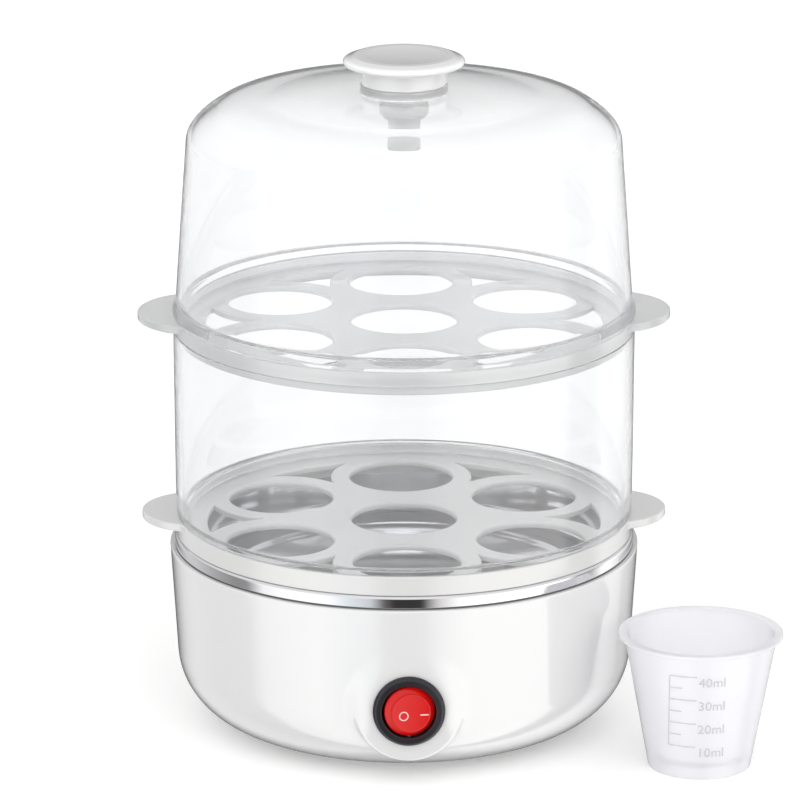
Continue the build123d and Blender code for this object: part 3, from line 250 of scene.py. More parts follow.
def rounded(corners, steps=6, closed=True):
    """An outline from corners (x, y, radius in millimetres), each swapped for the arc of that radius that
    touches both its sides."""
    spots = np.array([corner[:2] for corner in corners], float)
    radii = [corner[2] * MM if len(corner) > 2 else 0.0 for corner in corners]
    count = len(spots)
    path = []
    for i, radius in enumerate(radii):
        if radius <= 0 or (not closed and i in (0, count - 1)):
            path.append(spots[i][None])
            continue
        back = spots[i - 1] - spots[i]
        ahead = spots[(i + 1) % count] - spots[i]
        back /= np.linalg.norm(back)
        ahead /= np.linalg.norm(ahead)
        half = np.arccos(np.clip(back @ ahead, -1, 1)) / 2
        middle = spots[i] + (back + ahead) / np.linalg.norm(back + ahead) * radius / np.sin(half)
        first = spots[i] + back * radius / np.tan(half) - middle
        last = spots[i] + ahead * radius / np.tan(half) - middle
        start = np.arctan2(first[1], first[0])
        sweep = (np.arctan2(last[1], last[0]) - start + np.pi) % TURN - np.pi
        bend = start + sweep * np.linspace(0, 1, steps + 1)
        path.append(middle + radius * np.stack([np.cos(bend), np.sin(bend)], -1))
    return np.concatenate(path)


def held(rows, closed=False):
    """Rows with two more wherever neighbours are far apart, each a short way in from an end, so that smooth
    shading only turns between rows that are close."""
    far, near = 1.2 * MM, 0.15 * MM
    if closed:
        rows = np.concatenate([rows, rows[:1]])
    steps = np.diff(rows, axis=0)
    gaps = np.linalg.norm(steps, axis=-1).reshape(len(steps), -1).max(1)
    made = []
    for row, step, gap in zip(rows, steps, gaps):
        made.append(row)
        if gap > far:
            made += [row + step * near / gap, row + step * (1 - near / gap)]
    if not closed:
        made.append(rows[-1])
    return np.stack(made)


def round_turn(path, steps, centre=(0.0, 0.0), closed=True):
    """Turned grid: each (radius, height) goes round the axis as radius cos a, radius sin a, height."""
    path = held(path, closed)
    turn = np.linspace(0, TURN, steps, endpoint=False)
    radius, height = path[:, 0:1], path[:, 1:2]
    x = centre[0] + radius * np.cos(turn)
    y = centre[1] + radius * np.sin(turn)
    return np.stack([x, y, np.broadcast_to(height, x.shape)], -1), closed, True


def quads(rows, columns, wrap_rows, wrap_columns):
    """Faces of a grid: every cell between neighbouring rows and columns, and across a seam where it wraps."""
    row = np.arange(rows if wrap_rows else rows - 1)[:, None]
    column = np.arange(columns if wrap_columns else columns - 1)[None, :]
    next_row, next_column = (row + 1) % rows, (column + 1) % columns
    corners = [(row, column), (row, next_column), (next_row, next_column), (next_row, column)]
    return np.stack([r * columns + c for r, c in corners], -1).reshape(-1, 4)


def placed(name, data):
    """A new object in the scene."""
    made = bpy.data.objects.new(name, data)
    bpy.context.scene.collection.objects.link(made)
    return made


def piece(name, parts, body, material, nodes=()):
    """One mesh object from grids (points, wraps down, wraps across) and fills (points, faces), with its seams
    and poles merged and its faces turned outwards, riding on a body."""
    points, faces, count = [], [], 0
    for part in parts:
        if len(part) == 3:
            grid, down, across = part
            cells = quads(grid.shape[0], grid.shape[1], down, across)
        else:
            grid, cells = part
        spots = np.asarray(grid, float).reshape(-1, 3)
        points.append(spots)
        faces += [[corner + count for corner in cell] for cell in np.asarray(cells, object).tolist()]
        count += len(spots)
    mesh = bpy.data.meshes.new(name)
    mesh.from_pydata(np.concatenate(points), [], faces)
    shape = bmesh.new()
    shape.from_mesh(mesh)
    bmesh.ops.remove_doubles(shape, verts=shape.verts, dist=2e-6)
    bmesh.ops.dissolve_degenerate(shape, edges=shape.edges, dist=1e-7)
    bmesh.ops.recalc_face_normals(shape, faces=shape.faces)
    shape.to_mesh(mesh)
    shape.free()
    mesh.shade_smooth()
    mesh.set_sharp_from_angle(angle=np.radians(40.0))
    made = placed(name, mesh)
    mesh.materials.append(material)
    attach(made, body)
    if nodes:
        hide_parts(*nodes)


def within(spots, loop):
    """True for each spot inside a closed outline: its edges cross the spot's level an odd number of times to
    its right."""
    x, y = spots[:, 0:1], spots[:, 1:2]
    start, end = loop, np.roll(loop, -1, 0)
    straddles = (start[:, 1] > y) != (end[:, 1] > y)
    rise = np.where(end[:, 1] == start[:, 1], 1.0, end[:, 1] - start[:, 1])
    crossing = start[:, 0] + (y - start[:, 1]) * (end[:, 0] - start[:, 0]) / rise
    return (straddles & (x < crossing)).sum(1) % 2 == 1


def fill(outer, holes, height):
    """A flat sheet at a height, inside an outline and outside the holes: a constrained triangulation."""
    loops = [outer, *holes]
    points = np.concatenate(loops)
    edges, start = [], 0
    for loop in loops:
        here = np.arange(len(loop))
        edges.append(start + np.stack([here, (here + 1) % len(loop)], -1))
        start += len(loop)
    flat = [Vector(p) for p in (points / MM).tolist()]
    spots, _, cells, *_ = delaunay_2d_cdt(flat, np.concatenate(edges).tolist(), [], 2, 1e-6)
    sheet = np.array([(p.x * MM, p.y * MM, height) for p in spots])
    cells = np.array(cells)
    middles = sheet[cells, :2].mean(1)
    keep = within(middles, outer)
    for hole in holes:
        keep &= ~within(middles, hole)
    return sheet, cells[keep]


def circle(radius, steps, centre=(0.0, 0.0)):
    """A round outline, counter-clockwise."""
    turn = np.linspace(0, TURN, steps, endpoint=False)
    return np.stack([centre[0] + radius * np.cos(turn), centre[1] + radius * np.sin(turn)], -1)


def lip(loop, path):
    """A profile of (distance outwards, height) carried round a closed outline, along its normals."""
    along = np.roll(loop, -1, 0) - np.roll(loop, 1, 0)
    along /= np.linalg.norm(along, axis=1, keepdims=True)
    normal = np.stack([along[:, 1], -along[:, 0]], -1)
    rows = [np.concatenate([loop + normal * out, np.full((len(loop), 1), up)], 1) for out, up in path]
    return np.stack(rows), False, True


def bar(start, end, place, width=0.5 * MM, rise=0.16 * MM):
    """A raised bar from a start to an end on a face: an ellipse of half the width by the rise, carried along,
    and narrowed at both ends as a circle narrows. The place turns (x, y, height off the face) into points."""
    start, end = np.array(start), np.array(end)
    long = np.linalg.norm(end - start)
    along = (end - start) / long
    run = long * (1 - np.cos(np.linspace(0, np.pi, 28))) / 2
    near = np.clip(1 - np.minimum(run, long - run) / (width / 2), 0, 1)
    narrow = np.sqrt(1 - near**2)[:, None]
    turn = np.linspace(0, TURN, 12, endpoint=False)
    aside = width / 2 * narrow * np.cos(turn)
    x = start[0] + along[0] * run[:, None] - along[1] * aside
    y = start[1] + along[1] * run[:, None] + along[0] * aside
    return place(x, y, rise * narrow * np.sin(turn)), False, True


def letters(words, size):
    """Raised letters as points (x, y, height off the face) and faces."""
    curve = bpy.data.curves.new("letters", "FONT")
    curve.body = words
    curve.size = size
    curve.extrude = 0.16 * MM
    curve.resolution_u = 3
    carrier = bpy.data.objects.new("letters", curve)
    mesh = bpy.data.meshes.new_from_object(carrier)
    points = np.empty(len(mesh.vertices) * 3)
    mesh.vertices.foreach_get("co", points)
    faces = [list(face.vertices) for face in mesh.polygons]
    bpy.data.objects.remove(carrier)
    bpy.data.curves.remove(curve)
    bpy.data.meshes.remove(mesh)
    return points.reshape(-1, 3), faces


def soft_max(a, b, blend):
    """The larger of two values, with a rounded changeover as wide as the blend."""
    near = np.maximum(blend - np.abs(a - b), 0) / blend
    return np.maximum(a, b) + near * near * blend / 4


def ease(part):
    """Smooth step: 3 t^2 - 2 t^3 between 0 and 1."""
    part = np.clip(part, 0, 1)
    return part * part * (3 - 2 * part)


# ---------------------------------------------------------------- materials
def feed(tree, value, target):
    """Joins a socket to a node's input, or sets the input to a plain value."""
    if isinstance(value, bpy.types.NodeSocket):
        tree.links.new(value, target)
    else:
        target.default_value = value


def coordinates(tree, kind="Object"):
    """The place on the object, or another of Blender's coordinates."""
    return tree.nodes.new("ShaderNodeTexCoord").outputs[kind]


def apart(tree, vector):
    """The X, Y and Z of a vector."""
    node = tree.nodes.new("ShaderNodeSeparateXYZ")
    feed(tree, vector, node.inputs[0])
    return node.outputs


def noise(tree, vector, scale, detail):
    """The value of a noise texture."""
    node = tree.nodes.new("ShaderNodeTexNoise")
    for name, given in (("Detail", detail), ("Vector", vector), ("Scale", scale)):
        feed(tree, given, node.inputs[name])
    return node.outputs["Fac"]


def span(tree, value, low_out, high_out, low_in=0.3, high_in=0.7, kind="LINEAR"):
    """Maps a value's range onto another range, as numbers or sockets."""
    node = tree.nodes.new("ShaderNodeMapRange")
    node.interpolation_type = kind
    names = ("Value", "From Min", "From Max", "To Min", "To Max")
    for name, given in zip(names, (value, low_in, high_in, low_out, high_out)):
        feed(tree, given, node.inputs[name])
    return node.outputs["Result"]


def arithmetic(tree, operation, *values):
    """A math node on numbers or sockets."""
    node = tree.nodes.new("ShaderNodeMath")
    node.operation = operation
    for place, value in enumerate(values):
        feed(tree, value, node.inputs[place])
    return node.outputs[0]


def mixed(tree, first, second, factor):
    """A colour between two, by a factor."""
    node = tree.nodes.new("ShaderNodeMix")
    node.data_type = "RGBA"
    for name, given in (("A", first), ("B", second), ("Factor", factor)):
        feed(tree, given, node.inputs[name])
    return node.outputs["Result"]


def surface_group(name, inputs, wire):
    """A node group, built once: from a place and named numbers, wire works out its roughness and height."""
    if name in bpy.data.node_groups:
        return bpy.data.node_groups[name]
    group = bpy.data.node_groups.new(name, "ShaderNodeTree")
    add = group.interface.new_socket
    add(name="Vector", in_out="INPUT", socket_type="NodeSocketVector")
    for key, value in inputs.items():
        add(name=key, in_out="INPUT", socket_type="NodeSocketFloat").default_value = value
    for key in ("Roughness", "Height"):
        add(name=key, in_out="OUTPUT", socket_type="NodeSocketFloat")
    made = wire(group, group.nodes.new("NodeGroupInput").outputs)
    gives = group.nodes.new("NodeGroupOutput").inputs
    for key, value in zip(("Roughness", "Height"), made):
        feed(group, value, gives[key])
    return group


def moulding_group():
    """Moulded surface: a slow waviness and a fine orange peel for the bump, and a roughness that drifts."""

    def wire(group, given):
        """Its roughness and its height."""
        wave = noise(group, given["Vector"], given["Wave Scale"], 2.0)
        peel = noise(group, given["Vector"], given["Peel Scale"], 1.0)
        fine = arithmetic(group, "MULTIPLY", peel, given["Peel"])
        drift = span(group, wave, given["Roughness Low"], given["Roughness High"], kind="SMOOTHSTEP")
        return drift, arithmetic(group, "ADD", wave, fine)

    scales = {"Wave Scale": 18.0, "Peel Scale": 900.0, "Peel": 0.15}
    return surface_group("Moulded surface", {**scales, "Roughness Low": 0.12, "Roughness High": 0.2}, wire)


def brushed_group():
    """Polished or brushed metal: fine lines round the part's axis for the bump, and a roughness with faint
    smears."""

    def wire(group, given):
        """Its roughness and its height."""
        squeeze = group.nodes.new("ShaderNodeMapping")
        squeeze.inputs["Scale"].default_value = (0.02, 0.02, 1.0)
        feed(group, given["Vector"], squeeze.inputs["Vector"])
        lines = noise(group, squeeze.outputs["Vector"], given["Line Scale"], 3.0)
        smear = noise(group, given["Vector"], given["Smear Scale"], 3.0)
        return span(group, smear, given["Roughness Low"], given["Roughness High"]), lines

    scales = {"Line Scale": 1500.0, "Smear Scale": 30.0}
    return surface_group("Metal surface", {**scales, "Roughness Low": 0.08, "Roughness High": 0.2}, wire)


def finish(name, tint, rough, bump=0.02, depth=0.0002, kind=moulding_group, drift=None, through=0, **values):
    """A material whose roughness, between two values, and bump come from a surface group, on object
    coordinates. Drift (times, scale) lets its colour wander to so many times the tint, and through lets that
    share of the lamps' light shine straight on, so that what a clear piece covers isn't left dark. The other
    values go to the group's or the shader's own sockets of that name."""
    made = bpy.data.materials.new(name)
    made.use_nodes = True
    tree = made.node_tree
    shader = tree.nodes["Principled BSDF"]
    place = coordinates(tree)
    group = tree.nodes.new("ShaderNodeGroup")
    group.node_tree = kind()
    lift = tree.nodes.new("ShaderNodeBump")
    feed(tree, place, group.inputs["Vector"])
    feed(tree, group.outputs["Height"], lift.inputs["Height"])
    feed(tree, bump, lift.inputs["Strength"])
    feed(tree, depth, lift.inputs["Distance"])
    feed(tree, lift.outputs["Normal"], shader.inputs["Normal"])
    feed(tree, group.outputs["Roughness"], shader.inputs["Roughness"])
    shader.inputs["Base Color"].default_value = (*tint, 1.0)
    for key, value in {**values, "roughness_low": rough[0], "roughness_high": rough[1]}.items():
        socket = key.replace("_", " ").title().replace("Ior", "IOR")
        node = group if socket in group.inputs else shader
        node.inputs[socket].default_value = value
    if drift:
        times, scale = drift
        wander = span(tree, noise(tree, place, scale, 3.0), 0.0, 1.0, kind="SMOOTHSTEP")
        other = [c * times for c in tint]
        feed(tree, mixed(tree, (*tint, 1.0), (*other, 1.0), wander), shader.inputs["Base Color"])
    if through:
        path = tree.nodes.new("ShaderNodeLightPath").outputs["Is Shadow Ray"]
        straight = tree.nodes.new("ShaderNodeBsdfTransparent")
        straight.inputs["Color"].default_value = (*tint, 1.0)
        blend = tree.nodes.new("ShaderNodeMixShader")
        feed(tree, arithmetic(tree, "MULTIPLY", path, through), blend.inputs["Fac"])
        feed(tree, shader.outputs["BSDF"], blend.inputs[1])
        feed(tree, straight.outputs["BSDF"], blend.inputs[2])
        feed(tree, blend.outputs["Shader"], tree.nodes["Material Output"].inputs["Surface"])
    return made


def painted_top_shade(made, base, other, start, end):
    """Base colour that changes softly from one tint to another between two heights, with a faint drift:
    painted shade that darkens a top as if less light fell on it.
    """
    tree = made.node_tree
    place = coordinates(tree)
    mask = span(tree, apart(tree, place)["Z"], 0.0, 1.0, start, end, "SMOOTHSTEP")
    faint = span(tree, noise(tree, place, 60.0, 3.0), 0.94, 1.0)
    factor = arithmetic(tree, "MULTIPLY", mask, faint)
    blend = mixed(tree, (*base, 1.0), (*other, 1.0), factor)
    feed(tree, blend, tree.nodes["Principled BSDF"].inputs["Base Color"])


# ---------------------------------------------------------------- housing
class HousingSkin:
    """The housing's side as a curve of (radius, height) by length, drawn in by a wall."""

    def __init__(self, settings, inset):
        lo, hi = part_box("base_housing")
        self.low_z, self.top_z = lo.z, hi.z
        self.lean = settings.lean
        self.top_r = high("heating_dish").x + settings.edge_step
        self.corner = settings.corner - inset
        self.middle_z = self.low_z + settings.corner
        self.middle_r = self.side_radius(self.middle_z, settings.corner)
        self.bend = np.pi / 2 - self.lean
        self.bend_z = self.middle_z - self.corner * np.sin(self.lean)
        self.side_start = self.corner * self.bend
        self.length = self.side_start + (self.top_z - self.bend_z) / np.cos(self.lean)

    def side_radius(self, z, inset):
        """Radius of the leaning side at a height, less a wall measured square to it."""
        return self.top_r - (self.top_z - z) * np.tan(self.lean) - inset / np.cos(self.lean)

    def point(self, along):
        """(radius, height) at a length up the skin: a circle's arc, then a straight line."""
        turn = np.minimum(along / self.corner, self.bend)
        rest = np.maximum(along - self.side_start, 0)
        radius = self.middle_r + self.corner * np.sin(turn) + rest * np.sin(self.lean)
        height = self.middle_z - self.corner * np.cos(turn) + rest * np.cos(self.lean)
        return radius, height

    def along(self, height):
        """The length up the skin at a height."""
        drop = np.clip((self.middle_z - height) / self.corner, -1, 1)
        rest = (height - self.bend_z) / np.cos(self.lean)
        return np.where(rest > 0, self.side_start + rest, self.corner * np.arccos(drop))


def boss_grid(skin, turns, runs, facing, height, hole, boss_r, face, rounding, blend, fading, reach):
    """The skin round a boss that faces along Y. Inside the reach it is the larger of the housing and a flat
    disc with a rounded edge, blended, and a fading boss runs out softly everywhere but below. Outside,
    straight lines run from the reach's circle to the edge of the window that the turns and runs span."""
    edge_turn, edge_run = (
        np.concatenate([v[0], v[1:-1, -1], v[-1, ::-1], v[-2:0:-1, 0]]) for v in np.meshgrid(turns, runs)
    )
    middle_turn = turns.mean()
    bearing = np.arctan2(edge_run - float(skin.along(height)), (edge_turn - middle_turn) * skin.top_r)
    cosine, sine = np.cos(bearing), np.sin(bearing)
    ring_run = skin.along(height + reach * sine)
    ring_turn = middle_turn + np.arcsin(reach * cosine / skin.point(ring_run)[0])
    part = np.linspace(0, 1, 9)[:, None]
    turn = ring_turn + (edge_turn - ring_turn) * part
    radius, z = skin.point(ring_run + (edge_run - ring_run) * part)
    outside = np.stack([radius * np.sin(turn), -radius * np.cos(turn), z], -1)

    fine = boss_r + np.linspace(-rounding, 2.2 * MM, 24)
    inner = np.linspace(hole, fine[0], 8)[:-1]
    outer = np.linspace(fine[-1], reach, 8)[1:]
    out = np.concatenate([inner, fine, outer])[:, None]
    x, z = out * cosine, height + out * sine
    house = np.sqrt(skin.point(skin.along(z))[0] ** 2 - x**2)
    past = np.clip((out - boss_r + rounding) / rounding, 0, 1)
    fall = 6  # slope of the disc past its edge
    disc = face - rounding * (1 - np.sqrt(1 - past**2)) - fall * np.maximum(out - boss_r, 0)
    blend_starts, blend_full = boss_r - 5 * MM, boss_r - 1 * MM
    width = blend * np.clip((out - blend_starts) / (blend_full - blend_starts), 0.02, 1)
    away = soft_max(house, disc, width)
    if fading:
        soft = house + np.maximum(face - house, 0) * (1 - ease((out - fading) / (reach - fading)))
        below, change = 0.62, 0.5  # sine of the bearing where the sharp edge starts, and how long it takes
        away = away + (soft - away) * ease((sine + below) / change)
    inside = np.stack([-x * facing, facing * away, z], -1)
    return np.concatenate([inside[:-1], outside]), False, True


class EGG_OT_housing(bpy.types.Operator):
    """Makes the white housing: a leaning skin with a round corner, and raised rings for switch and cord"""

    bl_idname = "egg.housing"
    bl_label = "Housing"

    def execute(self, context):
        s = context.scene.egg_housing
        columns = np.linspace(0, TURN, COLUMNS, endpoint=False)
        around = np.concatenate([columns - TURN, columns, columns + TURN])
        switch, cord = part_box("switch_body"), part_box("cord_grommet")
        switch_face = -switch[0].y - context.scene.egg_switch.bezel_t
        for_switch = dict(
            facing=-1,
            height=(switch[0].z + switch[1].z) / 2,
            hole=10.1 * MM,
            boss_r=17.7 * MM,
            face=switch_face,
            rounding=1.5 * MM,
            blend=s.boss_blend,
            fading=12 * MM,
            reach=22 * MM,
        )
        for_cord = dict(
            facing=1,
            height=(cord[0].z + cord[1].z) / 2,
            hole=5 * MM,
            boss_r=9.5 * MM,
            face=cord[1].y - 2 * MM,
            rounding=0.5 * MM,
            blend=1 * MM,
            fading=0,
            reach=12 * MM,
        )
        # The window cut for each: its middle column, the columns on each side, its lowest and highest rows
        windows = ((for_switch, COLUMNS, 17, 6, 43), (for_cord, COLUMNS * 3 // 2, 10, 16, 40))
        least_edge = 0.2 * MM
        parts = []
        rims = []
        mouths = []
        for inset in (0.0, s.wall):
            skin = HousingSkin(s, inset)
            side = np.linspace(skin.side_start, skin.length - s.edge, 25)
            ups = np.concatenate([np.linspace(0, skin.side_start, 25)[:-1], side])
            radius, height = skin.point(ups)
            last = [skin.side_radius(skin.top_z, inset)], [skin.top_z]
            if inset == 0:
                bend = np.linspace(0, np.pi / 2, 7)[1:]
                last = radius[-1] - s.edge * (1 - np.cos(bend)), height[-1] + s.edge * np.sin(bend)
            radius = np.concatenate([[s.opening], radius, last[0]])[:, None]
            height = np.concatenate([[skin.low_z + inset], height, last[1]])[:, None]
            x, y = radius * np.sin(columns), radius * -np.cos(columns)
            grid = np.stack([x, y, np.broadcast_to(height, x.shape)], -1)
            cells = quads(*x.shape, False, True).reshape(-1, COLUMNS, 4)
            keep = np.ones(cells.shape[:2], bool)
            for boss, middle, half, low_row, high_row in windows:
                # The inner skin's boss is drawn in by the wall, but keeps a little rounding
                drawn_in = {key: boss[key] - inset for key in ("boss_r", "face", "rounding")}
                drawn_in["rounding"] = max(drawn_in["rounding"], least_edge)
                turns = around[middle - half : middle + half + 1]
                runs = ups[low_row : high_row + 1]
                made = boss_grid(skin, turns, runs, **{**boss, **drawn_in})
                parts.append(made)
                mouths.append(made[0][0])
                keep[low_row + 1 : high_row + 1, np.arange(middle - half, middle + half) % COLUMNS] = False
            parts.append((grid, cells[keep]))
            rims += [grid[0], grid[-1]]
        edges = (rims[0], rims[2]), (rims[1], rims[3]), (mouths[0], mouths[2]), (mouths[1], mouths[3])
        parts += [(np.stack(pair), False, True) for pair in edges]
        look = dict(peel=0.1, wave_scale=14.0, ior=1.5, coat_weight=1.0, coat_ior=1.75, coat_roughness=0.04)
        rough = (s.shine * 0.8, s.shine * 1.3)
        white = finish("White moulding", s.tint, rough, 0.03, 0.0006, drift=(0.985, 9.0), **look)
        piece("housing_shell", parts, "base", white, ["base_housing"])
        return {"FINISHED"}


# ---------------------------------------------------------------- dish
class EGG_OT_dish(bpy.types.Operator):
    """Makes the pressed steel dish: one outline of the sheet, turned round the axis"""

    bl_idname = "egg.dish"
    bl_label = "Heating dish"

    def execute(self, context):
        s = context.scene.egg_dish
        lo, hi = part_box("heating_dish")
        t = s.sheet
        floor_z = lo.z + t
        band, band_z = hi.x, lo.z + 15.4 * MM
        top = hi.z
        bowl = band - s.rim
        foot = bowl - s.lean
        flat = foot - s.slope_r
        cone_z = floor_z + s.slope_h
        path = rounded(
            [
                (band, band_z, 0.2),
                (band, top, 1.2),
                (bowl, top, 1.2),
                (foot, cone_z, 5),
                (flat, floor_z, 10),
                (0, floor_z),
                (0, lo.z),
                (flat + 0.3 * MM, lo.z, 10),
                (foot + 0.85 * MM, cone_z - t, 5),
                (bowl + t, top - t, 0.4),
                (band - t, top - t, 0.4),
                (band - t, band_z, 0.2),
            ],
            steps=8,
        )
        path = np.roll(path, -np.argmin(path[:, 0]) - 1, 0)
        steel = finish("Polished steel", s.tint, (0.05, 0.11), 0.02, 0.00005, brushed_group, metallic=1.0)
        piece("steel_dish", [round_turn(path, COLUMNS)], "base", steel, ["heating_dish"])
        return {"FINISHED"}


# ---------------------------------------------------------------- trays
def brim_radius(turn, rim, reach, ear, blend):
    """Outer edge of a tray by angle: the rim's circle, an ear's at each side, and the hollow arc between."""
    turn = np.arccos(np.abs(np.cos(turn)))
    middle = reach - ear
    away = rim + blend
    bearing = np.arccos((away**2 + middle**2 - (ear + blend) ** 2) / (2 * away * middle))
    hollow = away * np.array([np.cos(bearing), np.sin(bearing)])
    touch = np.array([middle, 0]) + (hollow - [middle, 0]) * ear / (ear + blend)
    ear_end = np.arctan2(touch[1], touch[0])
    on_ear = middle * np.cos(turn) + np.sqrt(np.maximum(ear**2 - (middle * np.sin(turn)) ** 2, 0))
    swing = turn - bearing
    on_blend = away * np.cos(swing) - np.sqrt(np.maximum(blend**2 - (away * np.sin(swing)) ** 2, 0))
    return np.where(turn < ear_end, on_ear, np.where(turn < bearing, on_blend, rim))


def slot_outline(s, turn):
    """A steam slot: from a point inside it, the nearest of the outer circle and the two guard circles in
    every direction, with the corners rounded by a power mean."""
    way = np.linspace(0, TURN, 120, endpoint=False)
    ray = np.stack([np.cos(way), np.sin(way)], -1)
    start = np.array([58 * MM, 0.0])
    inside = ray @ start
    near = [-inside + np.sqrt(inside**2 - start @ start + s.slot_outer**2)]
    for side in (-1, 1):
        egg = s.ring * np.array([np.cos(side * np.pi / 6), np.sin(side * np.pi / 6)])
        offset = start - egg
        inside = ray @ offset
        room = inside**2 - offset @ offset + (s.hole + s.slot_guard) ** 2
        hit = -inside - np.sqrt(np.maximum(room, 0))
        near.append(np.where((room > 0) & (hit > 0), hit, 1.0))
    power = 14.0
    distance = (np.stack(near) ** -power).sum(0) ** (-1 / power)
    cosine, sine = np.cos(turn), np.sin(turn)
    return (start + ray * distance[:, None]) @ np.array([[cosine, sine], [-sine, cosine]])


def tray_parts(s, node, recess, floor_t, skirt_r, ear_r):
    """A tray as one closed skin: a section carried round the axis whose brim follows the ears, the two faces
    of the floor, and a rounded lip round every hole."""
    lo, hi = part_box(node)
    top = hi.z
    seat = lo.z + s.skirt_h
    rim_r = hi.y
    floor_z = top - recess
    under = floor_z - floor_t
    rim_in, skirt_in = rim_r - s.rim, skirt_r - s.skirt
    near_ear = np.radians(np.arange(-21, 21, 0.25))
    turn = np.concatenate([np.linspace(0, TURN, 361)[:-1], near_ear % TURN, near_ear + np.pi])
    turn = np.unique(np.round(turn, 9))
    brim = brim_radius(turn, rim_r, hi.x, ear_r, s.blend)
    edge = 0.5 * MM
    ear_edge = np.minimum(edge, (brim - rim_r) / 2)
    bend = np.linspace(0, np.pi / 2, 6)
    rise, fall = 1 - np.sin(bend), 1 - np.cos(bend)

    def bent(radius, height, out, up, edge=edge, flip=False):
        """Rows of a quarter circle beside the corner (radius, height), outwards and upwards as the signs say.
        It starts on the level side, or with flip on the upright one."""
        first, last = (fall, rise) if flip else (rise, fall)
        return [(radius + out * edge * a, height + up * edge * b) for a, b in zip(first, last)]

    section = [
        (rim_in - 2 * edge, floor_z),
        *bent(rim_in, floor_z, -1, 1),
        *bent(rim_in, top, 1, -1, flip=True),
        ((rim_in + rim_r) / 2, top),
        *bent(brim, top, -1, -1),
        *bent(brim, top - s.ear_t, -1, 1, ear_edge, flip=True),
        (rim_r, top - s.ear_t),
        *bent(rim_r, seat, -1, 1, flip=True),
        (skirt_r, seat),
        *bent(skirt_r, seat - s.skirt_h, -1, 1, flip=True),
        *bent(skirt_in, seat - s.skirt_h, 1, 1),
        (skirt_in, under),
    ]
    radius, height = (np.stack([v * np.ones_like(turn) for v in column]) for column in zip(*section))
    skin = held(np.stack([radius * np.cos(turn), radius * np.sin(turn), height], -1))

    def mouth(start, edge):
        """A hole's lip from a start outside the hole, with its upper edge rounded."""
        lower = bent(0, under, 1, 1, 0.3 * MM, flip=True)
        return [(start, floor_z), *bent(0, floor_z, 1, -1, edge), *lower, (0.6 * MM, under)]

    middles = [(0.0, 0.0)]
    middles += [(s.ring * np.cos(a), s.ring * np.sin(a)) for a in np.radians(-90 + 60 * np.arange(6))]
    lips = [lip(circle(s.hole, 96, middle), mouth(s.seat + 0.5 * MM, s.seat)) for middle in middles]
    lips += [lip(slot_outline(s, np.radians(60 * k)), mouth(1.0 * MM, 0.6 * MM)) for k in range(6)]
    parts = [(skin, False, True), *lips]
    for end, height in ((0, floor_z), (-1, under)):
        parts.append(fill(skin[end][:, :2], [made[0][end][:, :2] for made in lips], height))
    return parts


class EGG_OT_lower_tray(bpy.types.Operator):
    """Makes the milky white lower egg tray"""

    bl_idname = "egg.lower_tray"
    bl_label = "Lower egg tray"

    def execute(self, context):
        s = context.scene.egg_tray
        skirt_r = high("heating_dish").x - context.scene.egg_dish.rim - 1.2 * MM
        parts = tray_parts(s, "lower_egg_tray", s.lower_recess, s.lower_floor, skirt_r, s.lower_ear)
        look = dict(wave_scale=30.0, ior=1.5, coat_weight=1.0, coat_ior=1.7, coat_roughness=0.08)
        milky = finish("Milky moulding", s.tint, (0.3, 0.4), 0.03, 0.0004, drift=(0.97, 14.0), **look)
        piece("lower_tray", parts, "lower_tray", milky, ["lower_egg_tray"])
        return {"FINISHED"}


class EGG_OT_upper_tray(bpy.types.Operator):
    """Makes the frosted upper egg tray"""

    bl_idname = "egg.upper_tray"
    bl_label = "Upper egg tray"

    def execute(self, context):
        s = context.scene.egg_tray
        skirt_r = high("middle_ring").y - context.scene.egg_clear.wall - 0.3 * MM
        parts = tray_parts(s, "upper_egg_tray", s.upper_recess, s.upper_floor, skirt_r, s.upper_ear)
        look = dict(wave_scale=25.0, ior=1.46, coat_weight=1.0, coat_ior=1.7, coat_roughness=0.06)
        look.update(transmission_weight=0.55, through=0.55)
        rough = (s.haze * 0.85, s.haze * 1.25)
        frosted = finish("Frosted moulding", s.frost, rough, 0.05, 0.0004, **look)
        piece("upper_tray", parts, "upper_tray", frosted, ["upper_egg_tray"])
        return {"FINISHED"}


# ---------------------------------------------------------------- ring and lid
def clear_material(s, name):
    """Clear moulded plastic with faint flow waves."""
    look = dict(wave_scale=16.0, peel=0.0, ior=s.index, transmission_weight=1.0 - s.milk, through=1.0)
    return finish(name, s.tint, (0.0, 0.03), 0.05, 0.0004, **look)


class EGG_OT_ring(bpy.types.Operator):
    """Makes the clear ring between the trays"""

    bl_idname = "egg.ring"
    bl_label = "Clear ring"

    def execute(self, context):
        s = context.scene.egg_clear
        lo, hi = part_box("middle_ring")
        foot_z = lo.z + s.nest_depth
        top_r = hi.y
        tray_r = high("lower_egg_tray").y
        foot_r = tray_r - 0.1 * MM
        nest_r = tray_r - context.scene.egg_tray.rim - 0.3 * MM
        path = rounded(
            [
                (nest_r - s.nest, lo.z, 0.4),
                (nest_r, lo.z, 0.4),
                (nest_r, foot_z, 0.1),
                (foot_r, foot_z, 0.4),
                (foot_r, foot_z + 2 * MM, 20),
                (top_r, hi.z, 0.4),
                (top_r - s.wall, hi.z, 0.4),
                (foot_r - s.wall, foot_z + 2 * MM, 1),
                (nest_r - s.nest, foot_z + 1 * MM, 0.5),
            ],
            steps=5,
        )
        clear = clear_material(s, "Clear ring moulding")
        piece("clear_ring", [round_turn(path, COLUMNS)], "ring", clear, ["middle_ring"])
        return {"FINISHED"}


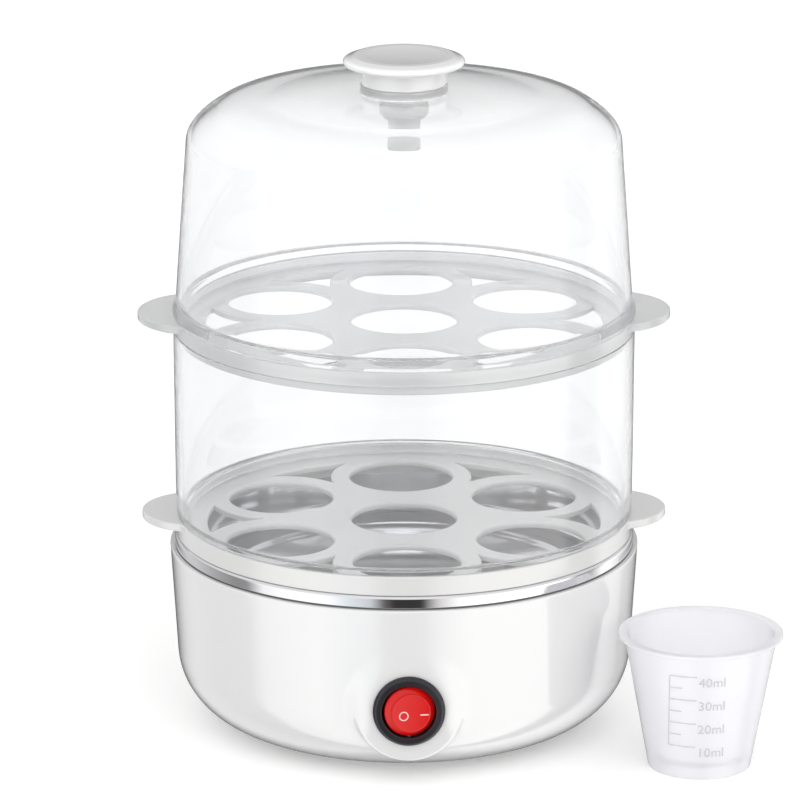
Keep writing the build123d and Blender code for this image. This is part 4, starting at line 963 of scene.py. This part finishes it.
def dome_curve(*spots):
    """A smooth curve through the shoulder, the bend, the crown and the end: cubic Hermite spans, with slopes
    by neighbours, the side's own lean at the start and level at the end."""
    spots = np.array(spots)
    gaps = np.linalg.norm(np.diff(spots, axis=0), axis=1)
    slopes = np.empty_like(spots)
    steep = (spots[1:] - spots[:-1]) / gaps[:, None]
    weighed = steep[:-1] * gaps[1:, None] + steep[1:] * gaps[:-1, None]
    slopes[1:-1] = weighed / (gaps[:-1] + gaps[1:])[:, None]
    side = np.array([-3.9, 54.0])
    slopes[0] = side / np.hypot(*side)
    slopes[-1] = (-1.0, 0.0)
    t = np.linspace(0, 1, 40)[:, None]
    h = [2 * t**3 - 3 * t**2 + 1, t**3 - 2 * t**2 + t, -2 * t**3 + 3 * t**2, t**3 - t**2]
    spans = []
    for i, gap in enumerate(gaps):
        start = h[0] * spots[i] + h[1] * slopes[i] * gap
        end = h[2] * spots[i + 1] + h[3] * slopes[i + 1] * gap
        spans.append((start + end)[:-1])
    return np.concatenate([*spans, spots[-1:]])


class EGG_OT_lid(bpy.types.Operator):
    """Makes the clear lid and its milky seat: closed outlines of their walls, turned round the axis"""

    bl_idname = "egg.lid"
    bl_label = "Lid"

    def execute(self, context):
        s = context.scene.egg_clear
        lo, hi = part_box("lid_dome")
        w = s.lid_wall
        foot = lo.z + s.nest_depth
        foot_r = hi.x
        seat_z = hi.z
        seat_r = 14.3 * MM
        crown_z = seat_z - 2.6 * MM
        wall_r = foot_r - 1.1 * MM
        shoulder_r = wall_r - 3.9 * MM
        nest_r = high("upper_egg_tray").y - context.scene.egg_tray.rim - 0.3 * MM
        outer = dome_curve(
            (shoulder_r, crown_z - 16 * MM),
            (shoulder_r - 9.5 * MM, crown_z - 5.3 * MM),
            (shoulder_r - 27.5 * MM, crown_z - 1.9 * MM),
            (seat_r + 0.02 * MM, crown_z),
        )
        along = np.gradient(outer, axis=0)
        along[-1] = (-1.0, 0.0)
        along /= np.linalg.norm(along, axis=1, keepdims=True)
        inner = outer + w * np.stack([-along[:, 1], along[:, 0]], -1)
        bottom = rounded(
            [
                (wall_r - w, foot + 5 * MM),
                (wall_r - w, foot + 4 * MM, 1.5),
                (nest_r - s.nest, foot + 2.5 * MM, 1),
                (nest_r - s.nest, lo.z, 0.4),
                (nest_r, lo.z, 0.4),
                (nest_r, foot, 0.1),
                (foot_r, foot, 0.4),
                (foot_r, foot + 1.2 * MM, 0.5),
                (wall_r, foot + 4 * MM, 3),
                (wall_r - 0.36 * MM, foot + 9 * MM),
            ],
            steps=5,
            closed=False,
        )
        path = np.concatenate([outer, inner[::-1], bottom])
        clear = clear_material(s, "Clear lid moulding")
        piece("lid_clear", [round_turn(path, COLUMNS)], "lid", clear, ["lid_dome"])

        bolt = high("knob_bolt").x
        boss_r = 8 * MM
        boss_z = high("knob_washer").z
        seat = rounded(
            [
                (seat_r, crown_z - w),
                (seat_r, seat_z, 0.5),
                (bolt, seat_z),
                (bolt, boss_z),
                (boss_r, boss_z, 0.6),
                (boss_r, seat_z - w, 0.8),
                (seat_r - w, seat_z - w, 0.8),
                (seat_r - w, crown_z - w),
            ],
            steps=5,
        )
        look = dict(wave_scale=60.0, ior=s.index, transmission_weight=0.5, through=0.8)
        milky = finish("Milky seat moulding", s.seat, (0.3, 0.4), **look)
        piece("lid_seat", [round_turn(seat, FINE)], "lid", milky)
        return {"FINISHED"}


class EGG_OT_knob(bpy.types.Operator):
    """Makes the white knob: a neck and a dished disc, turned round the axis"""

    bl_idname = "egg.knob"
    bl_label = "Knob"

    def execute(self, context):
        s = context.scene.egg_knob
        lo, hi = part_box("lid_knob")
        low_z = lo.z + 5.4 * MM
        rim = hi.x
        dish = 14 * MM
        across = np.linspace(1, 0, 20)
        dished = np.stack([dish * across, hi.z - 0.3 * MM * (1 - across**2)], -1)
        path = rounded(
            [
                (0, lo.z),
                (dish, lo.z, 0.4),
                (dish, low_z, 0.8),
                (16.5 * MM, low_z, 0.8),
                (rim, low_z + 1.2 * MM, 1.3),
                (rim, hi.z - 1.3 * MM, 1.1),
                (dish + 2.6 * MM, hi.z, 3),
                tuple(dished[0]),
            ],
            closed=False,
        )
        path = np.concatenate([path, dished[1:]])
        look = dict(wave_scale=40.0, ior=1.5, coat_weight=1.0, coat_ior=1.6, coat_roughness=0.08)
        white = finish("Knob moulding", s.tint, (0.16, 0.24), 0.03, 0.0003, **look)
        # Painted shade: the knob's top is given a darker colour than its side.
        painted_top_shade(white, s.tint, s.top, hi.z - 1.3 * MM, hi.z - 0.4 * MM)
        piece("knob", [round_turn(path, FINE, closed=False)], "lid", white, ["lid_knob"])
        return {"FINISHED"}


# ---------------------------------------------------------------- switch
class EGG_OT_switch(bpy.types.Operator):
    """Makes the switch: its black bezel and well, the red rocker and its two marks"""

    bl_idname = "egg.switch"
    bl_label = "Switch"

    def execute(self, context):
        s = context.scene.egg_switch
        lo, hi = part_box("switch_body")
        face, panel, back = lo.y, lo.y + s.bezel_t, hi.y
        bezel_r = (hi.x - lo.x) / 2
        body = rounded(
            [
                (0, face + s.recess_depth),
                (s.recess, face + s.recess_depth, 0.5),
                (s.recess, face + 0.3 * MM, 0.3),
                (s.recess + 0.3 * MM, face, 0.3),
                (bezel_r - 0.9 * MM, face + 0.15 * MM, 0.9),
                (bezel_r, face + 1.1 * MM, 0.6),
                (bezel_r, panel, 0.1),
                (s.barrel, panel, 0.1),
                (s.barrel, back, 0.5),
                (0, back),
            ],
            steps=7,
            closed=False,
        )
        grid, down, across = round_turn(body, FINE, closed=False)
        middle = np.array([(lo.x + hi.x) / 2, 0.0, (lo.z + hi.z) / 2])
        parts = [(grid[..., [0, 2, 1]] + middle, down, across)]
        look = dict(wave_scale=120.0, peel_scale=3000.0, peel=0.5, ior=1.5, drift=(1.5, 90.0))
        black = finish("Black moulding", s.black, (0.29, 0.36), 0.08, 0.00015, **look)
        piece("switch_bezel", parts, "base", black, ["switch_body"])

        hinge = JOINTS["rocker_hinge"]
        pivot = np.array(hinge["pos_m"])
        tilt = -np.radians(hinge["range_deg"][0]) / 2
        right = np.array([np.cos(tilt), np.sin(tilt), 0.0])
        front = np.array([np.sin(tilt), -np.cos(tilt), 0.0])
        up = np.array([0.0, 0.0, 1.0])

        def on_rocker(across, away, height):
            """Places (across, away from the pivot, height) in the rocker's tilted frame."""
            spread = np.broadcast_arrays(across, away, height)
            return pivot + sum(v[..., None] * d for v, d in zip(spread, (right, front, up)))

        def on_face(across, height, out):
            """Places (across, height) on the rocker's hollow face, at a distance off it."""
            away = s.face_h - s.hollow * (1 - (across**2 + height**2) / s.face**2)
            return on_rocker(across, away + out, height)

        part = np.linspace(0, 1, 16)
        well = np.stack([s.face * 0.9 * part, s.face_h - s.hollow * (1 - part**2)], -1)
        shape = rounded(
            [
                tuple(well[-1]),
                (s.face - 0.35 * MM, s.face_h + s.bead, 0.25),
                (s.face, s.face_h - 0.1 * MM, 0.25),
                (s.face + 0.05 * MM, s.face_h - 0.6 * MM, 0.2),
                (s.rocker, 1.6 * MM, 0.7),
                (s.rocker - 0.2 * MM, 0.0, 0.4),
                (2.8 * MM, -2.4 * MM, 0.5),
                (0, -2.8 * MM),
            ],
            steps=7,
            closed=False,
        )
        grid, down, across = round_turn(np.concatenate([well, shape[1:]]), FINE, closed=False)
        parts = [(on_rocker(grid[..., 0], grid[..., 2], grid[..., 1]), down, across)]
        look = dict(wave_scale=150.0, peel_scale=2500.0, ior=1.42, transmission_weight=0.25)
        # Painted light: the faint red emission stands in for light shining through the translucent rocker.
        look.update(emission_strength=0.06, emission_color=(1.0, 0.02, 0.01, 1.0))
        red = finish("Red moulding", s.red, (0.12, 0.2), 0.06, 0.00015, **look)
        piece("red_rocker", parts, "rocker", red, ["switch_rocker"])

        rise = 0.08 * MM
        turn = np.linspace(0, TURN, 64, endpoint=False)
        section = circle(1.0, 12)
        out = s.mark_r + 0.18 * MM * section[:, 0:1]
        height = rise * section[:, 1:2] * np.ones_like(turn)
        off = on_face(s.mark_x + out * np.cos(turn), s.mark_z + out * np.sin(turn), height)
        on = bar((3.1 * MM, -0.7 * MM), (6.0 * MM, -0.7 * MM), on_face, 0.42 * MM, rise)
        paint = finish("White paint", (0.85, 0.62, 0.62), (0.4, 0.5), wave_scale=300.0)
        piece("rocker_marks", [(off, True, True), on], "rocker", paint)
        return {"FINISHED"}


# ---------------------------------------------------------------- water measure
class EGG_OT_cup(bpy.types.Operator):
    """Makes the water measure with its raised marks"""

    bl_idname = "egg.cup"
    bl_label = "Water measure"

    def execute(self, context):
        s = context.scene.egg_cup
        lo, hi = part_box("measuring_cup")
        centre = ((lo.x + hi.x) / 2, (lo.y + hi.y) / 2)
        flange_z, flange_r = hi.z - s.flange, hi.x - centre[0]
        floor_z = s.foot + s.floor
        nub_r = 2.4 * MM
        nub_z = floor_z + 1.2 * MM

        def side(z, inset=0.0):
            """Radius of the side at a height, less a wall."""
            return s.bottom + (s.top - s.bottom) * z / flange_z - inset

        path = rounded(
            [
                (0, s.foot),
                (side(s.foot, s.wall), s.foot, 0.5),
                (side(0, s.wall), 0, 0.4),
                (side(0), 0, 0.4),
                (side(flange_z), flange_z, 0.6),
                (flange_r, flange_z, 0.4),
                (flange_r, hi.z, 0.4),
                (side(hi.z, s.wall), hi.z, 0.6),
                (side(floor_z, s.wall), floor_z, 2),
                (nub_r, floor_z, 0.4),
                (nub_r, nub_z, 0.4),
                (0, nub_z),
            ],
            closed=False,
        )
        look = dict(wave_scale=40.0, ior=1.4, transmission_weight=0.5, coat_weight=0.5, coat_roughness=0.1)
        cup = finish("Measure moulding", s.tint, (0.32, 0.4), 0.02, 0.0003, through=0.7, **look)
        made = [round_turn(path, 192, centre, closed=False)]
        piece("measure_cup", made, "measure", cup, ["measuring_cup"])

        def on_side(across, height, out):
            """Wraps (distance across, height) round the side that faces the front, at a distance off it."""
            radius = side(height) + out
            turn = across / side(height)
            x = centre[0] + radius * np.sin(turn)
            y = centre[1] - radius * np.cos(turn)
            return np.stack([x, y, height], -1)

        left, label = s.scale_left, s.scale_left + s.scale_long + 0.4 * MM
        parts = [bar((left, s.scale_low), (left, s.scale_low + 6 * s.scale_step), on_side)]
        for mark in range(7):
            height = s.scale_low + mark * s.scale_step
            reach = s.scale_long if mark % 2 == 0 else s.scale_short
            parts.append(bar((left, height), (left + reach, height), on_side))
            if mark % 2 == 0:
                points, faces = letters(f"{10 + mark // 2 * 10}ml", s.letter)
                drop = height - 0.35 * MM - points[:, 1].max()
                parts.append((on_side(label + points[:, 0], drop + points[:, 1], points[:, 2]), faces))
        # Painted shade: the raised marks get a grey that stands in for the shade along their edges.
        painted_shade_marks = finish("Measure marks", s.marks, (0.3, 0.4), wave_scale=60.0)
        piece("measure_marks", parts, "measure", painted_shade_marks)
        return {"FINISHED"}


# ---------------------------------------------------------------- plain parts
METAL = dict(rough=(0.29, 0.42), kind=brushed_group, metallic=1.0)
PLAIN = dict(rough=(0.4, 0.6))
WIRE = dict(rough=(0.3, 0.45))

# For each finish: its colour, how it looks, and the CAD nodes that have it
INNER = {
    "Plated steel": (
        (0.55, 0.55, 0.56),
        METAL,
        "cover_screws dish_brackets dish_screws heating_element element_pins thermostat_strap heater_screws "
        "thermal_fuse fuse_clip earth_stud earth_nuts clamp_screws block_screws switch_pivot knob_bolt "
        "piercing_needle",
    ),
    "Brass": ((0.75, 0.55, 0.22), METAL, "thermostat_tabs earth_lug terminal_screws switch_contacts"),
    "Cast aluminium": ((0.72, 0.72, 0.73), METAL, "heat_spreader thermostat_cap"),
    "Rubber": ((0.05, 0.05, 0.052), {**PLAIN, "bump": 0.2}, "rubber_feet cord_grommet"),
    "Silicone": ((0.10, 0.10, 0.105), {**PLAIN, "bump": 0.1}, "dish_gasket wire_boots"),
    "Ceramic": (
        (0.8, 0.78, 0.72),
        {**PLAIN, "bump": 0.1},
        "element_insulators thermostat_body terminal_block fuse_sleeve",
    ),
    "White cover": ((0.9, 0.9, 0.9), {**PLAIN, "bump": 0.15}, "bottom_cover cord_clamp"),
    "White nylon": (
        (0.95, 0.95, 0.95),
        {**PLAIN, "transmission_weight": 0.55, "through": 0.8},
        "knob_washer knob_nut",
    ),
    "Red wire": ((0.5, 0.02, 0.015), WIRE, "live_lead switched_lead thermostat_lead fuse_lead"),
    "Blue wire": ((0.02, 0.07, 0.4), WIRE, "neutral_lead lamp_lead"),
    "Green wire": ((0.08, 0.35, 0.04), WIRE, "earth_lead"),
    "Lamp glass": ((0.9, 0.1, 0.05), WIRE, "switch_lamp"),
}


class EGG_OT_inner_parts(bpy.types.Operator):
    """Gives the parts inside and underneath their materials"""

    bl_idname = "egg.inner_parts"
    bl_label = "Inner parts"

    def execute(self, context):
        for name, (tint, look, nodes) in INNER.items():
            material = finish(name, tint, **look)
            for node in nodes.split():
                NODES[node].data.materials.clear()
                NODES[node].data.materials.append(material)
        return {"FINISHED"}


# ---------------------------------------------------------------- stage
# Low strips of the studio's light: degrees round the upright axis from the front towards +X, brightness, and
# a tint where it isn't white
STRIPS = (
    (-180, 0.08),
    (-166, 0.12, 0.97, 0.97, 1.0),
    (-146, 0.45, 0.97, 0.97, 1.0),
    (-130, 0.42),
    (-112, 0.30),
    (-95, 0.20),
    (-86, 0.20),
    (-76, 0.70),
    (-45, 0.90, 1.0, 0.99, 0.98),
    (-28, 0.62, 0.88, 0.95, 1.0),
    (-18, 0.50, 0.93, 0.96, 1.0),
    (-11, 0.10, 1.0, 0.95, 0.92),
    (-6, 0.03, 1.0, 0.95, 0.92),
    (8, 0.03, 1.0, 0.95, 0.92),
    (16, 0.50, 1.0, 0.98, 0.97),
    (32, 0.95, 1.0, 0.985, 0.97),
    (84, 1.10, 1.0, 0.985, 0.97),
    (92, 0.28),
    (105, 0.28),
    (118, 0.85),
    (146, 0.45, 0.97, 0.97, 1.0),
    (166, 0.12, 0.97, 0.97, 1.0),
    (180, 0.08),
)

CARD_ARC = np.radians((114, 160))  # where the dark cards start and end round the axis, from the front


def studio_sky(s):
    """The light all round: low down, upright strips by the direction's angle, arctan2 of x and -y; higher up
    they fade into a sky that is brighter in front than behind, in a straight line with y."""
    world = bpy.data.worlds.new("Soft studio")
    world.use_nodes = True
    tree = world.node_tree
    way = apart(tree, coordinates(tree, "Generated"))
    turn = arithmetic(tree, "ARCTAN2", way["X"], arithmetic(tree, "MULTIPLY", way["Y"], -1.0))
    strips = tree.nodes.new("ShaderNodeValToRGB")
    feed(tree, span(tree, turn, 0.0, 1.0, -np.pi, np.pi), strips.inputs["Fac"])
    stops = strips.color_ramp.elements
    while len(stops) < len(STRIPS):
        stops.new(0.5)
    for stop, (degrees, bright, *tint) in zip(stops, STRIPS):
        stop.position = degrees / 360 + 0.5
        stop.color = (*(s.strips * bright * np.array(tint or (1.0, 1.0, 1.0))), 1.0)
    sky = span(tree, way["Y"], s.sky_front, s.sky_back, -1.0, 1.0)
    upwards = span(tree, way["Z"], 0.0, 1.0, 0.05, 0.4)
    feed(tree, mixed(tree, strips.outputs["Color"], sky, upwards), tree.nodes["Background"].inputs["Color"])
    return world


class EGG_OT_stage(bpy.types.Operator):
    """Makes the floor, the soft lights and the camera"""

    bl_idname = "egg.stage"
    bl_label = "Stage"

    def execute(self, context):
        s, scene = context.scene.egg_stage, context.scene
        mesh = bpy.data.meshes.new("studio_floor")
        half = 6.0
        corners = [(-half, -half, 0), (half, -half, 0), (half, half, 0), (-half, half, 0)]
        mesh.from_pydata(corners, [], [(0, 1, 2, 3)])
        ground = placed("studio_floor", mesh)
        look = dict(wave_scale=2.0, emission_color=(*s.floor, 1.0), emission_strength=s.glow)
        mesh.materials.append(finish("Pale floor", s.floor, (0.5, 0.6), 0.0, **look))
        ground.visible_glossy = False
        self.dark_cards(s)
        scene.world = studio_sky(s)

        light = bpy.data.lights.new("Softbox", "AREA")
        light.size = 1.6
        light.energy = s.softbox
        softbox = placed("Softbox", light)
        softbox.location = (0, -1.3, 1.2)
        towards = Vector((0, 0, s.aim)) - softbox.location
        softbox.rotation_euler = towards.to_track_quat("-Z", "Y").to_euler()
        softbox.visible_glossy = False

        camera = bpy.data.cameras.new("Camera")
        camera.lens = s.lens
        camera.sensor_width = 36
        camera.shift_x = -0.005
        camera.shift_y = -0.0015
        camera.clip_start = 0.05
        camera.clip_end = 50
        view = placed("Camera", camera)
        away, rise = s.distance * np.cos(s.pitch), s.distance * np.sin(s.pitch)
        view.location = (away * np.sin(s.turn), -away * np.cos(s.turn), s.aim + rise)
        view.rotation_euler = (np.pi / 2 - s.pitch, 0, s.turn)
        scene.camera = view
        paths = scene.cycles
        paths.max_bounces = paths.transmission_bounces = paths.transparent_max_bounces = 40
        paths.glossy_bounces = 16
        scene.view_settings.view_transform = "Standard"
        return {"FINISHED"}

    def dark_cards(self, s):
        """Two curved cards behind the housing, one on each side, that only reflections see: upright strips of
        a circle round the axis, whose glow falls away towards the back. They draw the base's edges."""
        bearing = np.linspace(*CARD_ARC, 40)
        x, y = s.card_r * np.sin(bearing), -s.card_r * np.cos(bearing)
        black = bpy.data.materials.new("Dark card")
        black.use_nodes = True
        tree = black.node_tree
        sockets = tree.nodes["Principled BSDF"].inputs
        sockets["Base Color"].default_value = (0.0, 0.0, 0.0, 1.0)
        sockets["Specular IOR Level"].default_value = 0.0
        sockets["Emission Strength"].default_value = 1.0
        glow = span(tree, apart(tree, coordinates(tree))["Y"], 0.75, 0.03, y[0], y[-1], "SMOOTHSTEP")
        feed(tree, glow, sockets["Emission Color"])
        for side in (-1, 1):
            edges = [np.stack([side * x, y, np.full_like(x, z)], -1) for z in (-60 * MM, s.card_top)]
            mesh = bpy.data.meshes.new("dark_card")
            mesh.from_pydata(np.concatenate(edges), [], quads(2, len(x), False, False).tolist())
            mesh.materials.append(black)
            card = placed("dark_card", mesh)
            card.visible_camera = card.visible_diffuse = False
            card.visible_transmission = card.visible_shadow = False


STEPS = (
    EGG_OT_stage,
    EGG_OT_inner_parts,
    EGG_OT_housing,
    EGG_OT_dish,
    EGG_OT_lower_tray,
    EGG_OT_ring,
    EGG_OT_upper_tray,
    EGG_OT_lid,
    EGG_OT_knob,
    EGG_OT_switch,
    EGG_OT_cup,
)


class EGG_PT_panel(bpy.types.Panel):
    """Lists the cooker's pieces and their settings"""

    bl_idname = "EGG_PT_panel"
    bl_label = "Egg cooker"
    bl_space_type = "VIEW_3D"
    bl_region_type = "UI"
    bl_category = "Egg cooker"

    def draw(self, context):
        for step in STEPS:
            self.layout.operator(step.bl_idname)
        for name, group in GROUPS.items():
            box = self.layout.box()
            box.label(text=group.__doc__)
            for key in group.__annotations__:
                box.prop(getattr(context.scene, name), key)


def register():
    """Registers the settings, the operators and the panel."""
    for name, group in GROUPS.items():
        bpy.utils.register_class(group)
        setattr(bpy.types.Scene, name, bpy.props.PointerProperty(type=group))
    for made in (*STEPS, EGG_PT_panel):
        bpy.utils.register_class(made)


def unregister():
    """Takes them out again."""
    for made in reversed((*STEPS, EGG_PT_panel)):
        bpy.utils.unregister_class(made)
    for name, group in GROUPS.items():
        delattr(bpy.types.Scene, name)
        bpy.utils.unregister_class(group)


def main():
    """Makes every piece in order."""
    register()
    for step in STEPS:
        getattr(bpy.ops.egg, step.bl_idname.split(".")[1])()


if __name__ == "__main__":
    main()
